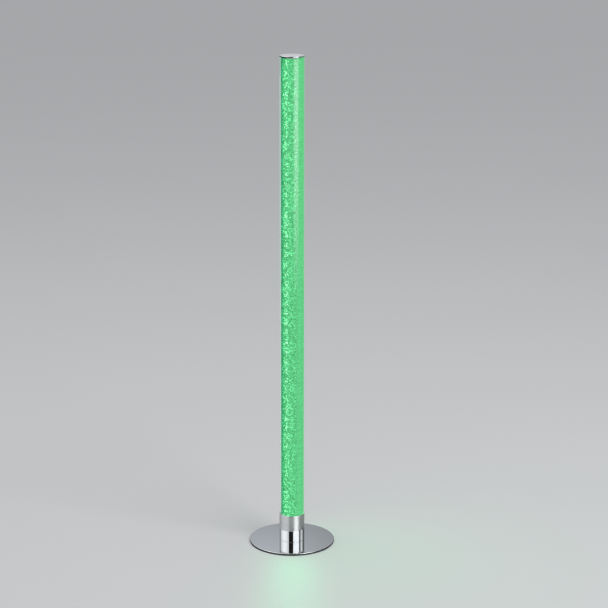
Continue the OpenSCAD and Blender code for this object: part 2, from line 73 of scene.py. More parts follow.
class Link:
    """A node's output, which Python's operators join with numbers, colours and other outputs."""

    def __init__(self, graph: Graph, socket: bpy.types.NodeSocket) -> None:
        """Holds the output and the graph that it lies in."""
        self.graph = graph
        self.socket = socket

    def output(self, name: str) -> Link:
        """Gives another output of the same node."""
        return Link(self.graph, self.graph.enabled(self.socket.node.outputs, name))

    def _join(self, operation: str, first: Operand, second: Operand) -> Link:
        """Adds the node that joins two values.

        Args:
            operation: Name of the operation, as Blender's nodes have it.
            first: Left value.
            second: Right value.

        Returns:
            The node's output: a colour or a vector where either value is one.
        """
        kinds = {value.socket.type for value in (first, second) if isinstance(value, Link)}
        if "RGBA" in kinds:
            return self.graph.mix(1.0, first, second, operation)
        if "VECTOR" in kinds:
            values = {0: self.graph.widened(first), 1: self.graph.widened(second)}
            return self.graph.node("ShaderNodeVectorMath", {"operation": operation}, values)
        return self.graph.node("ShaderNodeMath", {"operation": operation}, {0: first, 1: second})

    def __add__(self, other: Operand) -> Link:
        """Gives self + other."""
        return self._join("ADD", self, other)

    def __radd__(self, other: Operand) -> Link:
        """Gives other + self."""
        return self._join("ADD", other, self)

    def __sub__(self, other: Operand) -> Link:
        """Gives self - other."""
        return self._join("SUBTRACT", self, other)

    def __rsub__(self, other: Operand) -> Link:
        """Gives other - self."""
        return self._join("SUBTRACT", other, self)

    def __mul__(self, other: Operand) -> Link:
        """Gives self * other."""
        return self._join("MULTIPLY", self, other)

    def __rmul__(self, other: Operand) -> Link:
        """Gives other * self."""
        return self._join("MULTIPLY", other, self)

    def __truediv__(self, other: Operand) -> Link:
        """Gives self / other."""
        return self._join("DIVIDE", self, other)

    def __rtruediv__(self, other: Operand) -> Link:
        """Gives other / self."""
        return self._join("DIVIDE", other, self)

    def __pow__(self, other: Operand) -> Link:
        """Gives self ** other."""
        return self._join("POWER", self, other)

    def __rpow__(self, other: Operand) -> Link:
        """Gives other ** self."""
        return self._join("POWER", other, self)

    def math(self, operation: str, *others: Operand) -> Link:
        """Gives a Math node's result for this value and up to two others."""
        values = dict(enumerate((self, *others)))
        return self.graph.node("ShaderNodeMath", {"operation": operation}, values)

    def smooth(self, low: float, high: float) -> Link:
        """Eases this value from 0 where it is low to 1 where it is high. Either may be the greater."""
        return self._eased("SMOOTHSTEP", low, high)

    def ramp(self, low: float, high: float) -> Link:
        """Grows evenly from 0 where this value is low to 1 where it is high."""
        return self._eased("LINEAR", low, high)

    def _eased(self, kind: str, low: float, high: float) -> Link:
        """Maps this value's range from low to high onto 0 to 1.

        Args:
            kind: Blender's name for the way of easing.
            low: Value at which the share is 0.
            high: Value at which it is 1.

        Returns:
            The share.
        """
        values = {"Value": self, "From Min": min(low, high), "From Max": max(low, high)}
        share = self.graph.node("ShaderNodeMapRange", {"interpolation_type": kind}, values)
        return 1.0 - share if low > high else share


class Graph:
    """Builds a shader tree or a geometry tree, one node at a time."""

    def __init__(self, tree: bpy.types.NodeTree) -> None:
        """Takes a tree and empties it."""
        self.tree = tree
        tree.nodes.clear()

    @staticmethod
    def enabled(sockets: Any, key: Union[int, str, None]) -> bpy.types.NodeSocket:
        """Finds a socket that is in use.

        Args:
            sockets: A node's inputs or outputs.
            key: Place or name of the socket, or None for the first one in use.

        Returns:
            The socket.
        """
        if isinstance(key, int):
            return sockets[key]
        return next(socket for socket in sockets if socket.enabled and key in (None, socket.name))

    @staticmethod
    def widened(value: Operand) -> Operand:
        """Makes three numbers of one, and leaves other values as they are."""
        return (value,) * 3 if isinstance(value, (int, float)) else value

    def node(
        self,
        kind: str,
        settings: Optional[Mapping[str, Any]] = None,
        values: Optional[Mapping[Union[int, str], Operand]] = None,
        output: Optional[str] = None,
    ) -> Link:
        """Adds a node.

        Args:
            kind: Blender's name for the node's type.
            settings: What is set on the node itself, such as a Math node's operation.
            values: What goes into its sockets, by name or place: values or links.
            output: Name of the output to give, or None for the first one in use.

        Returns:
            The output.
        """
        made = self.tree.nodes.new(kind)
        for name, setting in (settings or {}).items():
            setattr(made, name, setting)
        for key, value in (values or {}).items():
            socket = self.enabled(made.inputs, key)
            if isinstance(value, Link):
                self.tree.links.new(value.socket, socket)
            else:
                socket.default_value = (*value, 1.0) if self._is_plain_colour(socket, value) else value
        if not len(made.outputs):
            return Link(self, made.inputs[0])
        return Link(self, self.enabled(made.outputs, output))

    @staticmethod
    def _is_plain_colour(socket: bpy.types.NodeSocket, value: Any) -> bool:
        """Tells whether a colour socket is given three numbers."""
        return socket.type == "RGBA" and len(value) == 3

    def mix(self, share: Operand, first: Operand, second: Operand, blend: str = "MIX") -> Link:
        """Mixes two colours.

        Args:
            share: How much of the second colour shows.
            first: Colour, link or grey level.
            second: Colour, link or grey level.
            blend: Blender's name for the way of mixing.

        Returns:
            The mixed colour.
        """
        settings = {"data_type": "RGBA", "blend_type": blend}
        values = {"Factor": share, "A": self.widened(first), "B": self.widened(second)}
        return self.node("ShaderNodeMix", settings, values)

    def dimmed(self, colour: Link, shade: Operand) -> Link:
        """Multiplies a colour by another one."""
        return self.mix(1.0, colour, shade, "MULTIPLY")

    def vector(self, x: Operand, y: Operand, z: Operand) -> Link:
        """Makes a vector of three numbers."""
        return self.node("ShaderNodeCombineXYZ", values={0: x, 1: y, 2: z})

    def split(self, vector: Link) -> tuple[Link, Link, Link]:
        """Gives the three numbers of a vector."""
        x = self.node("ShaderNodeSeparateXYZ", values={0: vector})
        return x, x.output("Y"), x.output("Z")


class Paint(Graph):
    """Builds a material's shader tree."""

    def place(self) -> Link:
        """Gives the piece's own coordinates, in metres."""
        return self.node("ShaderNodeTexCoord", output="Object")

    def attribute(self, name: str) -> Link:
        """Gives a number that the mesh stores at each point."""
        return self.node("ShaderNodeAttribute", {"attribute_name": name}, output="Fac")

    def noise(self, at: Link, size: float, detail: float = 2.0, rough: float = 0.5) -> Link:
        """Gives smooth noise near 0.5, whose largest features have a size in metres."""
        values = {"Vector": at, "Scale": 1.0 / size, "Detail": detail, "Roughness": rough}
        return self.node("ShaderNodeTexNoise", values=values)

    def cells(self, at: Link, size: float, feature: str = "F1", output: str = "Distance") -> Link:
        """Gives a pattern of cells of a size in metres: a distance in cells, or each cell's own colour."""
        values = {"Vector": at, "Scale": 1.0 / size}
        return self.node("ShaderNodeTexVoronoi", {"feature": feature}, values, output)

    def stretched(self, at: Link, x: float, y: float, z: float) -> Link:
        """Draws a pattern out along the axes by these factors."""
        return at * (1.0 / x, 1.0 / y, 1.0 / z)

    def bump(self, height: Link, depth: float, strength: float = 1.0) -> Link:
        """Bends the normal by a height, which is a share of the depth in metres."""
        return self.node("ShaderNodeBump", values={"Strength": strength, "Distance": depth, "Height": height})

    def facing(self, at: Link, turn: float) -> Link:
        """Gives the cosine between a point's own way from the axis and a turn, in degrees from +X."""
        way = math.radians(turn)
        return self.dot(self.outward(at), (math.cos(way), math.sin(way), 0.0))

    def outward(self, at: Link) -> Link:
        """Gives the level direction from the column's axis to a point."""
        return self.node("ShaderNodeVectorMath", {"operation": "NORMALIZE"}, {0: at * (1.0, 1.0, 0.0)})

    def normal(self) -> Link:
        """Gives the direction that the surface faces."""
        return self.node("ShaderNodeNewGeometry", output="Normal")

    def dot(self, first: Link, second: Operand) -> Link:
        """Gives the dot product of two vectors."""
        return self.node("ShaderNodeVectorMath", {"operation": "DOT_PRODUCT"}, {0: first, 1: second}, "Value")

    def speck(self, at: Link, size: float, share: float) -> Link:
        """Gives small soft spots, such as dust, that cover about the share of the surface."""
        return self.cells(at, size).smooth(share, 0.0)


# Finishes

def material_of(name: str, surface: Callable[[Paint], Link]) -> bpy.types.Material:
    """Makes a material.

    Args:
        name: Its name.
        surface: Builds its shader.

    Returns:
        The material, which isn't sampled as a lamp where it glows.
    """
    made = bpy.data.materials.new(name)
    made.use_nodes = True
    paint = Paint(made.node_tree)
    paint.node("ShaderNodeOutputMaterial", values={"Surface": surface(paint)})
    made.cycles.emission_sampling = "NONE"
    return made


def darkened(colour: Colour, share: float) -> Colour:
    """Gives this share of a colour."""
    return tuple(share * part for part in colour)


@dataclass(frozen=True)
class Finish(ABC):
    """A surface finish that makes one material.

    Attributes:
        label: The material's name.
        slot: The record's material slot that the finish belongs to; not used.
    """

    label: str
    slot: str

    @abstractmethod
    def paint(self, paint: Paint) -> dict[str, Operand]:
        """Gives the values and links of the Principled shader's sockets."""

    def shader(self, paint: Paint) -> Link:
        """Builds the Principled shader."""
        return paint.node("ShaderNodeBsdfPrincipled", values=self.paint(paint))

    def material(self) -> bpy.types.Material:
        """Makes the material, or gives the one that was made before."""
        made = bpy.data.materials.get(self.label)
        return material_of(self.label, self.shader) if made is None else made


class Metal(Enum):
    """Bare metals and the colour that they reflect."""

    CHROME = (0.55, 0.556, 0.554)
    NICKEL = (0.735, 0.735, 0.735)
    ZINC = (0.56, 0.575, 0.59)
    ALUMINIUM = (0.76, 0.77, 0.78)
    TIN = (0.63, 0.62, 0.61)


@dataclass(frozen=True)
class PolishedMetal(Finish):
    """Plated metal polished to a mirror, with faint wiping marks.

    Attributes:
        metal: The plating.
        haze: Roughness of a clean patch.
        wipe: Roughness that the wiping marks add.
        dull: Colour that the marks and the dust turn it towards.
    """

    metal: Metal = Metal.CHROME
    haze: float = 0.025
    wipe: float = 0.05
    dull: Colour = (0.5, 0.5, 0.5)

    def paint(self, paint: Paint) -> dict[str, Operand]:
        """Gives a mirror whose haze comes in soft clouds and thin arcs.

        Args:
            paint: The material's tree.

        Returns:
            Values and links by socket.
        """
        place = paint.place()
        clouds = paint.noise(place, size=0.045, detail=3.0).smooth(0.5, 0.75)
        streaks = paint.noise(paint.stretched(place, 12.0, 1.0, 1.0), size=0.004).smooth(0.55, 0.8)
        dust = paint.speck(place, size=0.006, share=0.06)
        marks = clouds * 0.6 + clouds * streaks * 0.4
        return {
            "Base Color": paint.mix(marks * 0.25 + dust * 0.3, self.metal.value, self.dull),
            "Metallic": 1.0,
            "Roughness": self.haze + marks * self.wipe + dust * 0.2,
            "Normal": paint.bump(paint.noise(place, size=0.02, detail=1.0), depth=0.02 * MM, strength=0.3),
        }


@dataclass(frozen=True)
class TurnedMetal(Finish):
    """Metal with fine turning lines round the axis, which spread light up and down.

    Attributes:
        metal: The metal or plating.
        grain: Distance between two lines, in metres.
        spread: Mean roughness.
        pull: How much more the light spreads along the axis.
        shaded_heights: Heights between which it is darkened by painted shade, fully at the lower one.
        painted_shade: How far it is darkened there.
        dull: Colour that the lines' tone and the painted shade turn it towards.
    """

    metal: Metal = Metal.NICKEL
    grain: float = 0.25 * MM
    spread: float = 0.42
    pull: float = 0.86
    shaded_heights: Point = (0.030, 0.062)
    painted_shade: float = 0.55
    dull: Colour = (0.5, 0.5, 0.505)

    def paint(self, paint: Paint) -> dict[str, Operand]:
        """Gives a satin sheen whose lines differ in depth and tone.

        Args:
            paint: The material's tree.

        Returns:
            Values and links by socket.
        """
        place = paint.place()
        lines = paint.noise(paint.stretched(place, 200.0, 200.0, 1.0), size=self.grain, detail=1.0)
        broad = paint.noise(paint.stretched(place, 30.0, 30.0, 1.0), size=self.grain * 9.0)
        tone = lines * 0.6 + broad * 0.4
        # Painted shade: the collar is darker towards its foot.
        painted_darkening = (1.0 - paint.split(place)[2].ramp(*self.shaded_heights)) * self.painted_shade
        dull_and_shade = tone.smooth(0.35, 0.65) * 0.2 + painted_darkening
        return {
            "Base Color": paint.mix(dull_and_shade, self.metal.value, self.dull),
            "Metallic": 1.0,
            "Roughness": self.spread - 0.06 + tone * 0.12,
            "Anisotropic": self.pull,
            "Anisotropic Rotation": 0.25,
            "Normal": paint.bump(lines, depth=0.01 * MM, strength=0.35),
        }


@dataclass(frozen=True)
class PlatedSteel(Finish):
    """Zinc-plated or blackened steel of screws and hidden discs.

    Attributes:
        colour: Mean colour of the plating.
        spangle: Size of one crystal, in metres.
        spread: Mean roughness.
        metallic: 1 for bare plating, less for an oxide coat.
    """

    colour: Colour = Metal.ZINC.value
    spangle: float = 1.2 * MM
    spread: float = 0.34
    metallic: float = 1.0

    def paint(self, paint: Paint) -> dict[str, Operand]:
        """Gives crystals of differing shine under a faint grain.

        Args:
            paint: The material's tree.

        Returns:
            Values and links by socket.
        """
        place = paint.place()
        crystal = paint.cells(place, self.spangle, output="Color")
        shade = paint.node("ShaderNodeRGBToBW", values={0: crystal})
        grain = paint.noise(place, size=self.spangle / 6.0)
        return {
            "Base Color": paint.mix(shade * 0.6 + grain * 0.3, self.colour, darkened(self.colour, 0.72)),
            "Metallic": self.metallic,
            "Roughness": self.spread - 0.08 + shade * 0.14,
            "Normal": paint.bump(grain, depth=0.02 * MM, strength=0.5),
        }


@dataclass(frozen=True)
class ExtrudedMetal(Finish):
    """Aluminium drawn through a die, with long thin lines along the column.

    Attributes:
        line: Colour of the lines.
    """

    line: Colour = (0.6, 0.61, 0.62)

    def paint(self, paint: Paint) -> dict[str, Operand]:
        """Gives die lines that run along Z.

        Args:
            paint: The material's tree.

        Returns:
            Values and links by socket.
        """
        place = paint.place()
        lines = paint.noise(paint.stretched(place, 1.0, 1.0, 150.0), size=0.5 * MM, detail=3.0, rough=0.6)
        return {
            "Base Color": paint.mix(lines.smooth(0.35, 0.65), Metal.ALUMINIUM.value, self.line),
            "Metallic": 1.0,
            "Roughness": 0.26 + lines * 0.16,
            "Normal": paint.bump(lines, depth=0.03 * MM, strength=0.5),
        }


@dataclass(frozen=True)
class Moulded(Finish):
    """Moulded plastic or rubber with a fine grain.

    Attributes:
        colour: Colour of the plastic.
        spread: Mean roughness.
        grain: Size of the grain, in metres.
        depth: Depth of the grain, in metres.
        mottle: How much darker its cloudy patches are.
    """

    colour: Colour = (0.8, 0.8, 0.77)
    spread: float = 0.42
    grain: float = 0.4 * MM
    depth: float = 0.02 * MM
    mottle: float = 0.08

    def paint(self, paint: Paint) -> dict[str, Operand]:
        """Gives a grained surface with cloudy patches.

        Args:
            paint: The material's tree.

        Returns:
            Values and links by socket.
        """
        place = paint.place()
        grain = paint.noise(place, size=self.grain, rough=0.6)
        clouds = paint.noise(place, size=self.grain * 30.0, detail=3.0).smooth(0.35, 0.7)
        darker = darkened(self.colour, 1.0 - self.mottle)
        return {
            "Base Color": paint.mix(clouds * 0.7 + grain * 0.3, self.colour, darker),
            "Roughness": self.spread + grain * 0.12 - clouds * 0.06,
            "Normal": paint.bump(grain, depth=self.depth, strength=0.6),
        }


@dataclass(frozen=True)
class FoamRubber(Finish):
    """Closed-cell foam, with cut cells that show as pits.

    Attributes:
        cell: Size of one cell, in metres.
        pit: Colour at the bottom of a pit.
        wall: Colour between the pits.
    """

    cell: float = 0.7 * MM
    pit: Colour = (0.012, 0.012, 0.013)
    wall: Colour = (0.035, 0.035, 0.037)

    def paint(self, paint: Paint) -> dict[str, Operand]:
        """Gives dark foam whose pits catch less light than their walls.

        Args:
            paint: The material's tree.

        Returns:
            Values and links by socket.
        """
        place = paint.place()
        pits = paint.cells(place, self.cell).smooth(0.1, 0.6)
        return {
            "Base Color": paint.mix(pits, self.pit, self.wall),
            "Roughness": 0.75 + pits * 0.2,
            "Normal": paint.bump(pits, depth=0.12 * MM, strength=0.8),
        }


@dataclass(frozen=True)
class BoardLaminate(Finish):
    """Printed board: solder mask over copper tracks, with a fine weave.

    Attributes:
        mask: Colour of the solder mask.
        track: Colour where copper lies under the mask.
        pitch: Distance between tracks, in metres.
    """

    mask: Colour = (0.01, 0.11, 0.045)
    track: Colour = (0.02, 0.2, 0.07)
    pitch: float = 2.4 * MM

    def paint(self, paint: Paint) -> dict[str, Operand]:
        """Gives tracks that run as straight stretches of cells' borders.

        Args:
            paint: The material's tree.

        Returns:
            Values and links by socket.
        """
        place = paint.place()
        tracks = paint.cells(place, self.pitch, "DISTANCE_TO_EDGE").smooth(0.12, 0.07)
        weave = paint.noise(place, size=0.3 * MM)
        return {
            "Base Color": paint.mix(tracks, self.mask, self.track),
            "Roughness": 0.28 + weave * 0.14,
            "Coat Weight": 0.3,
            "Normal": paint.bump(tracks + weave * 0.3, depth=0.03 * MM, strength=0.6),
        }


@dataclass(frozen=True)
class WoundCopper(Finish):
    """Enamelled copper wire, wound in level turns.

    Attributes:
        wire: Distance from one turn to the next, in metres.
        groove: Colour between two turns.
        enamel: Colour along a turn.
    """

    wire: float = 0.35 * MM
    groove: Colour = (0.1, 0.03, 0.012)
    enamel: Colour = (0.5, 0.2, 0.07)

    def paint(self, paint: Paint) -> dict[str, Operand]:
        """Gives one ridge for each turn of wire.

        Args:
            paint: The material's tree.

        Returns:
            Values and links by socket.
        """
        place = paint.place()
        height = paint.split(place)[2]
        turn = (height * (1.0 / self.wire)).math("FRACT")
        ridge = (turn - 0.5).math("ABSOLUTE").smooth(0.5, 0.1)
        sheen = paint.noise(place, size=self.wire * 5.0)
        return {
            "Base Color": paint.mix(ridge * 0.7 + sheen * 0.3, self.groove, self.enamel),
            "Metallic": 0.7,
            "Roughness": 0.3 + sheen * 0.1,
            "Normal": paint.bump(ridge, depth=0.12 * MM, strength=0.8),
        }


class Green:
    """Greens of the lit column, as the pieces give them off."""

    NONE = (0.0, 0.0, 0.0)
    DARK = (0.0, 0.03, 0.0)
    MIDDLE = (0.070, 0.45, 0.15)
    BRIGHT = (0.33, 1.25, 0.58)
    PLAIN = (0.072, 0.315, 0.14)
    STAR = (0.66, 1.3, 0.88)
    GEL = (0.01, 0.06, 0.025)
    WALL = (0.003, 0.08, 0.03)
    PLAIN_WALL = (0.05, 0.29, 0.10)
    THROWN = (0.05, 1.0, 0.3)


@dataclass(frozen=True)
class Stretch:
    """Stretch of the column that has no bubbles, with soft borders.

    Attributes:
        middle: Turn of its middle, in degrees from +X.
        full: Angle from the middle up to which it is plain.
        gone: Angle from the middle from which nothing of it is left.
    """

    middle: float = -20.0
    full: float = 34.0
    gone: float = 54.0

    def share(self, paint: Paint, at: Link) -> Link:
        """Tells how plain the column is at a point."""
        low, high = math.cos(math.radians(self.gone)), math.cos(math.radians(self.full))
        return paint.facing(at, self.middle).smooth(low, high)


@dataclass(frozen=True)
class ClearAcrylic(Finish):
    """Clear extruded acrylic with faint draw lines and dust, whose wall carries some of the green light.

    Attributes:
        tint: Colour of light that has passed through.
        dusty: Colour of light that has passed through dust.
        index: Refractive index.
        inner: Distance from the axis within which the wall's inner face lies.
        plain: The stretch without bubbles, where more light leaves the wall.
    """

    tint: Colour = (0.97, 1.0, 0.985)
    dusty: Colour = (0.9, 0.92, 0.9)
    index: float = 1.49
    inner: float = 26.7 * MM
    plain: Stretch = Stretch()

    def paint(self, paint: Paint) -> dict[str, Operand]:
        """Gives glass-clear walls whose face is a little uneven along the column.

        Args:
            paint: The material's tree.

        Returns:
            Values and links by socket.
        """
        place = paint.place()
        draw = paint.noise(paint.stretched(place, 1.0, 1.0, 40.0), size=3.0 * MM)
        dust = paint.speck(place, size=0.009, share=0.05)
        level = place * (1.0, 1.0, 0.0)
        away = paint.node("ShaderNodeVectorMath", {"operation": "LENGTH"}, {0: level}, "Value")
        outer = away.math("GREATER_THAN", self.inner)
        # Painted glow: the wall's outer face gives off green, more in the stretch without bubbles.
        carried = paint.mix(self.plain.share(paint, place), Green.WALL, Green.PLAIN_WALL)
        return {
            "Base Color": paint.mix(dust * 0.4, self.tint, self.dusty),
            "Roughness": dust * 0.2,
            "IOR": self.index,
            "Transmission Weight": 1.0,
            "Emission Color": paint.mix(outer, Green.NONE, carried),
            "Emission Strength": 1.0,
            "Normal": paint.bump(draw, depth=0.004 * MM, strength=0.15),
        }


@dataclass(frozen=True)
class LitFinish(Finish):
    """Finish that glows green, as the lamps behind it light it.

    Attributes:
        far_side: Turn of the side that gets least light, in degrees from +X.
        side: Turn of the side where the bubbles stand out most.
        side_contrast: How much they stand out there.
        contrast: How much the bubbles stand out elsewhere.
        middle: Level at which a point is as bright as the mean.
        shade: Brightness of the far side.
        plain: The stretch without bubbles.
    """

    far_side: float = -172.0
    side: float = -148.0
    side_contrast: float = 0.8
    contrast: float = 0.62
    middle: float = 0.4
    shade: float = 0.48
    plain: Stretch = Stretch()

    def glow(self, paint: Paint, place: Link, level: Link) -> Link:
        """Gives the light that a point gives off.

        Args:
            paint: The material's tree.
            place: The point.
            level: Its brightness among its neighbours, from 0 to 1.

        Returns:
            The green.
        """
        plain = self.plain.share(paint, place)
        side = paint.facing(place, self.side).smooth(0.8, 0.95)
        strength = (side * (self.side_contrast - self.contrast) + self.contrast) * (1.0 - plain)
        spread = (level - self.middle) * strength + self.middle
        green = paint.mix(spread.ramp(0.0, self.middle), Green.DARK, Green.MIDDLE)
        green = paint.mix(spread.ramp(self.middle, 1.0), green, Green.BRIGHT)
        rolled = paint.noise(paint.stretched(place, 40.0, 40.0, 1.0), size=3.0 * MM).ramp(0.3, 0.7)
        specks = paint.noise(place, size=3.0 * MM, detail=1.0).ramp(0.3, 0.7)
        # Painted shade: the plain stretch is darker where it faces +X.
        edge = paint.facing(place, 0.0).smooth(0.75, 0.97) * 0.2
        lines = plain * ((rolled - 0.5) * 0.5 + (specks - 0.5) * 0.6 - edge) + 1.0
        lit = 1.0 - paint.facing(place, self.far_side).smooth(0.8, 0.97) * (1.0 - self.shade)
        shaded = lines * lit
        return paint.dimmed(paint.mix(plain, green, Green.PLAIN), paint.vector(shaded * lit, shaded, shaded))


@dataclass(frozen=True)
class LitSheet(LitFinish):
    """Rolled sheet that glows green: mottled where bubbles lie on it, and plain between."""

    def paint(self, paint: Paint) -> dict[str, Operand]:
        """Gives the glow, and how much of the inside shows through.

        Args:
            paint: The material's tree.

        Returns:
            Values and links by socket.
        """
        place = paint.place()
        plain = self.plain.share(paint, place)
        flecks = paint.noise(place, size=2.0 * MM, detail=3.0, rough=0.7).ramp(0.3, 0.7)
        return {
            "Base Color": Green.GEL,
            "Roughness": 0.35,
            "Specular IOR Level": 0.2,
            "Alpha": plain * 0.28 + 0.72,
            "Emission Color": self.glow(paint, place, flecks),
            "Emission Strength": 1.0,
            "Normal": paint.bump(flecks * (1.0 - plain), depth=0.15 * MM, strength=0.7),
        }


@dataclass(frozen=True)
class LitBubble(LitFinish):
    """Bubbles on the rolled sheet, some of which have a painted glow of the lamps.

    Attributes:
        level: Name of the attribute that says how bright a bubble is.
        star: Name of the attribute that says how near a bubble is to where the sheet shows a lamp to the
            front, which sets its painted glow.
        glint_way: How far the side of a bubble with a painted highlight leans from the way outwards.
        growing: Heights between which the stars grow to their full size.
    """

    level: str = "glow"
    star: str = "star"
    glint_way: Spot = (-0.12, 0.0, 0.3)
    growing: Point = (0.05, 0.5)

    def paint(self, paint: Paint) -> dict[str, Operand]:
        """Gives each bubble its own green, and a paler painted glow where the sheet shows a lamp to the
        front.

        Args:
            paint: The material's tree.

        Returns:
            Values and links by socket.
        """
        place = paint.place()
        own = paint.attribute(self.level)
        outward, normal = paint.outward(place), paint.normal()
        # Painted shade: each bubble is darker towards its rim.
        crown = paint.dot(normal, outward).smooth(0.55, 0.9)
        # Painted highlight on each bubble's upper side.
        glint = paint.dot(normal, outward + self.glint_way).smooth(1.0, 1.04) * own.smooth(0.4, 0.8)
        uneven = paint.noise(place, size=1.0 * MM, detail=1.0).ramp(0.3, 0.7)
        level = (own ** 1.3) * (crown * 0.55 + 0.45) + glint * 0.5
        green = self.glow(paint, place, level * 0.9 + uneven * 0.1)
        # Painted glow of the lamps: bubbles along the line where the lamps show from the front are paler, and
        # weaker low down.
        near = paint.attribute(self.star)
        high = paint.split(place)[2].ramp(*self.growing) * 0.45 + 0.55
        lit = (near * (own * 0.3 + 0.85) * high).smooth(0.3, 1.0)
        halo = (near ** 0.3) * 0.4 + 0.9
        green = paint.dimmed(green, paint.vector(halo, halo, halo))
        return {
            "Base Color": Green.GEL,
            "Roughness": 0.2 + uneven * 0.08,
            "Specular IOR Level": 0.15,
            "Emission Color": paint.mix(lit, green, Green.STAR),
            "Emission Strength": 1.0,
        }


@dataclass(frozen=True)
class LitResin(Finish):
    """Clear resin over a lit lamp chip.

    Attributes:
        strength: How bright it is, where 1 is white.
        resin: Colour of the resin.
        dim: Colour of its light where it is thick.
        bright: Colour of its light where it is thin.
    """

    strength: float = 9.0
    resin: Colour = (0.2, 0.6, 0.3)
    dim: Colour = (0.4, 1.0, 0.55)
    bright: Colour = (0.6, 1.0, 0.7)

    def paint(self, paint: Paint) -> dict[str, Operand]:
        """Gives a bright green dot with a faintly uneven face.

        Args:
            paint: The material's tree.

        Returns:
            Values and links by socket.
        """
        uneven = paint.noise(paint.place(), size=0.8 * MM)
        return {
            "Base Color": self.resin,
            "Roughness": 0.1 + uneven * 0.1,
            "Emission Color": paint.mix(uneven, self.dim, self.bright),
            "Emission Strength": self.strength,
        }


class Finishes:
    """The finishes of the lamp's pieces."""

    PLATE = PolishedMetal("polished chrome plate", "foot_chrome")
    STUB = PolishedMetal("polished chrome stub", "stub_chrome")
    CAP = PolishedMetal("polished chrome cap", "cap_chrome")
    COLLAR = TurnedMetal("turned satin collar", "collar_satin")
    FLOOR = PlatedSteel("zinc plated disc", "floor_zinc")
    SCREW = PlatedSteel("zinc plated screw", "screw_zinc", spangle=0.5 * MM)
    SET_SCREW = PlatedSteel(
        "blackened screw", "screw_black", (0.03, 0.03, 0.033), spangle=0.5 * MM, spread=0.42, metallic=0.6,
    )
    PAD = FoamRubber("foam rubber", "pad_foam")
    SEAL = Moulded(
        "black rubber", "seal_black", (0.02, 0.02, 0.021),
        spread=0.55, grain=0.25 * MM, depth=0.03 * MM, mottle=0.3,
    )
    SOCKET = Moulded("white moulding", "moulded_white")
    CARRIER = ExtrudedMetal("extruded aluminium", "carrier_alu")
    DRIVER = BoardLaminate("green board", "board_green")
    LAMP_BOARD = BoardLaminate(
        "white board", "board_white", mask=(0.78, 0.79, 0.77), track=(0.7, 0.71, 0.68), pitch=3.2 * MM,
    )
    PACKAGE = Moulded(
        "lamp package", "package_white", (0.82, 0.81, 0.74), spread=0.35, grain=0.2 * MM, depth=0.01 * MM,
    )
    LENS = LitResin("lit resin", "lens_lit")
    SOLDER = PlatedSteel("solder", "solder", Metal.TIN.value, spangle=0.4 * MM, spread=0.3)
    CHIP = Moulded(
        "black moulding", "part_black", (0.02, 0.02, 0.022),
        spread=0.5, grain=0.2 * MM, depth=0.01 * MM, mottle=0.2,
    )
    SLEEVE = Moulded(
        "capacitor sleeve", "sleeve_blue", (0.012, 0.02, 0.09),
        spread=0.3, grain=0.5 * MM, depth=0.01 * MM, mottle=0.2,
    )
    WINDING = WoundCopper("copper winding", "winding")
    TERMINAL = Moulded("green terminal", "terminal_green", (0.03, 0.22, 0.08), spread=0.4, grain=0.3 * MM)
    LEAD = Moulded(
        "red lead", "lead_red", (0.45, 0.03, 0.02),
        spread=0.45, grain=0.3 * MM, depth=0.01 * MM, mottle=0.15,
    )
    TUBE = ClearAcrylic("clear acrylic", "tube_acrylic")
    SHEET = LitSheet("lit bubble sheet", "liner_bubbled")
    BUBBLE = LitBubble("lit bubble", "liner_bubbled")


# Meshes

@dataclass(frozen=True)
class Corner:
    """One corner of a turned profile, in metres.

    Attributes:
        r: Distance from the axis.
        z: Height.
        rounding: Radius of its rounding.
    """

    r: float
    z: float
    rounding: float = 0.0


@dataclass(frozen=True)
class Profile:
    """Closed outline that is turned round the Z axis.

    Attributes:
        corners: The corners, in order.
        arc_steps: Faces along one rounding.
        hold: Distance from a rounding to the extra points that keep the flats beside it flat.
    """

    corners: tuple[Corner, ...]
    arc_steps: int = 4
    hold: float = 0.12 * MM

    def points(self) -> list[Point]:
        """Gives the outline's points, with the roundings as arcs.

        Returns:
            The points.
        """
        found: list[Point] = []
        count = len(self.corners)
        for i, corner in enumerate(self.corners):
            here = Vector((corner.r, corner.z))
            if corner.rounding <= 0.0:
                found.append((here.x, here.y))
                continue
            before, after = self.corners[i - 1], self.corners[(i + 1) % count]
            back = (Vector((before.r, before.z)) - here).normalized()
            ahead = (Vector((after.r, after.z)) - here).normalized()
            found += self._arc(here, back, ahead, corner.rounding)
        return found

    def _arc(self, here: Vector, back: Vector, ahead: Vector, radius: float) -> list[Point]:
        """Gives the points of one rounding.

        Args:
            here: The corner.
            back: Direction to the corner before.
            ahead: Direction to the corner after.
            radius: Radius of the rounding.

        Returns:
            Its points, with one held point on either side.
        """
        half = back.angle(ahead) / 2.0
        reach = radius / math.tan(half)
        centre = here + (back + ahead).normalized() * (radius / math.sin(half))
        start, end = here + back * reach, here + ahead * reach
        arms = (start - centre, end - centre)
        made = [here + back * (reach + self.hold)]
        for i in range(self.arc_steps + 1):
            arm = arms[0].lerp(arms[1], i / self.arc_steps).normalized()
            made.append(centre + arm * radius)
        made.append(here + ahead * (reach + self.hold))
        return [(point.x, point.y) for point in made]


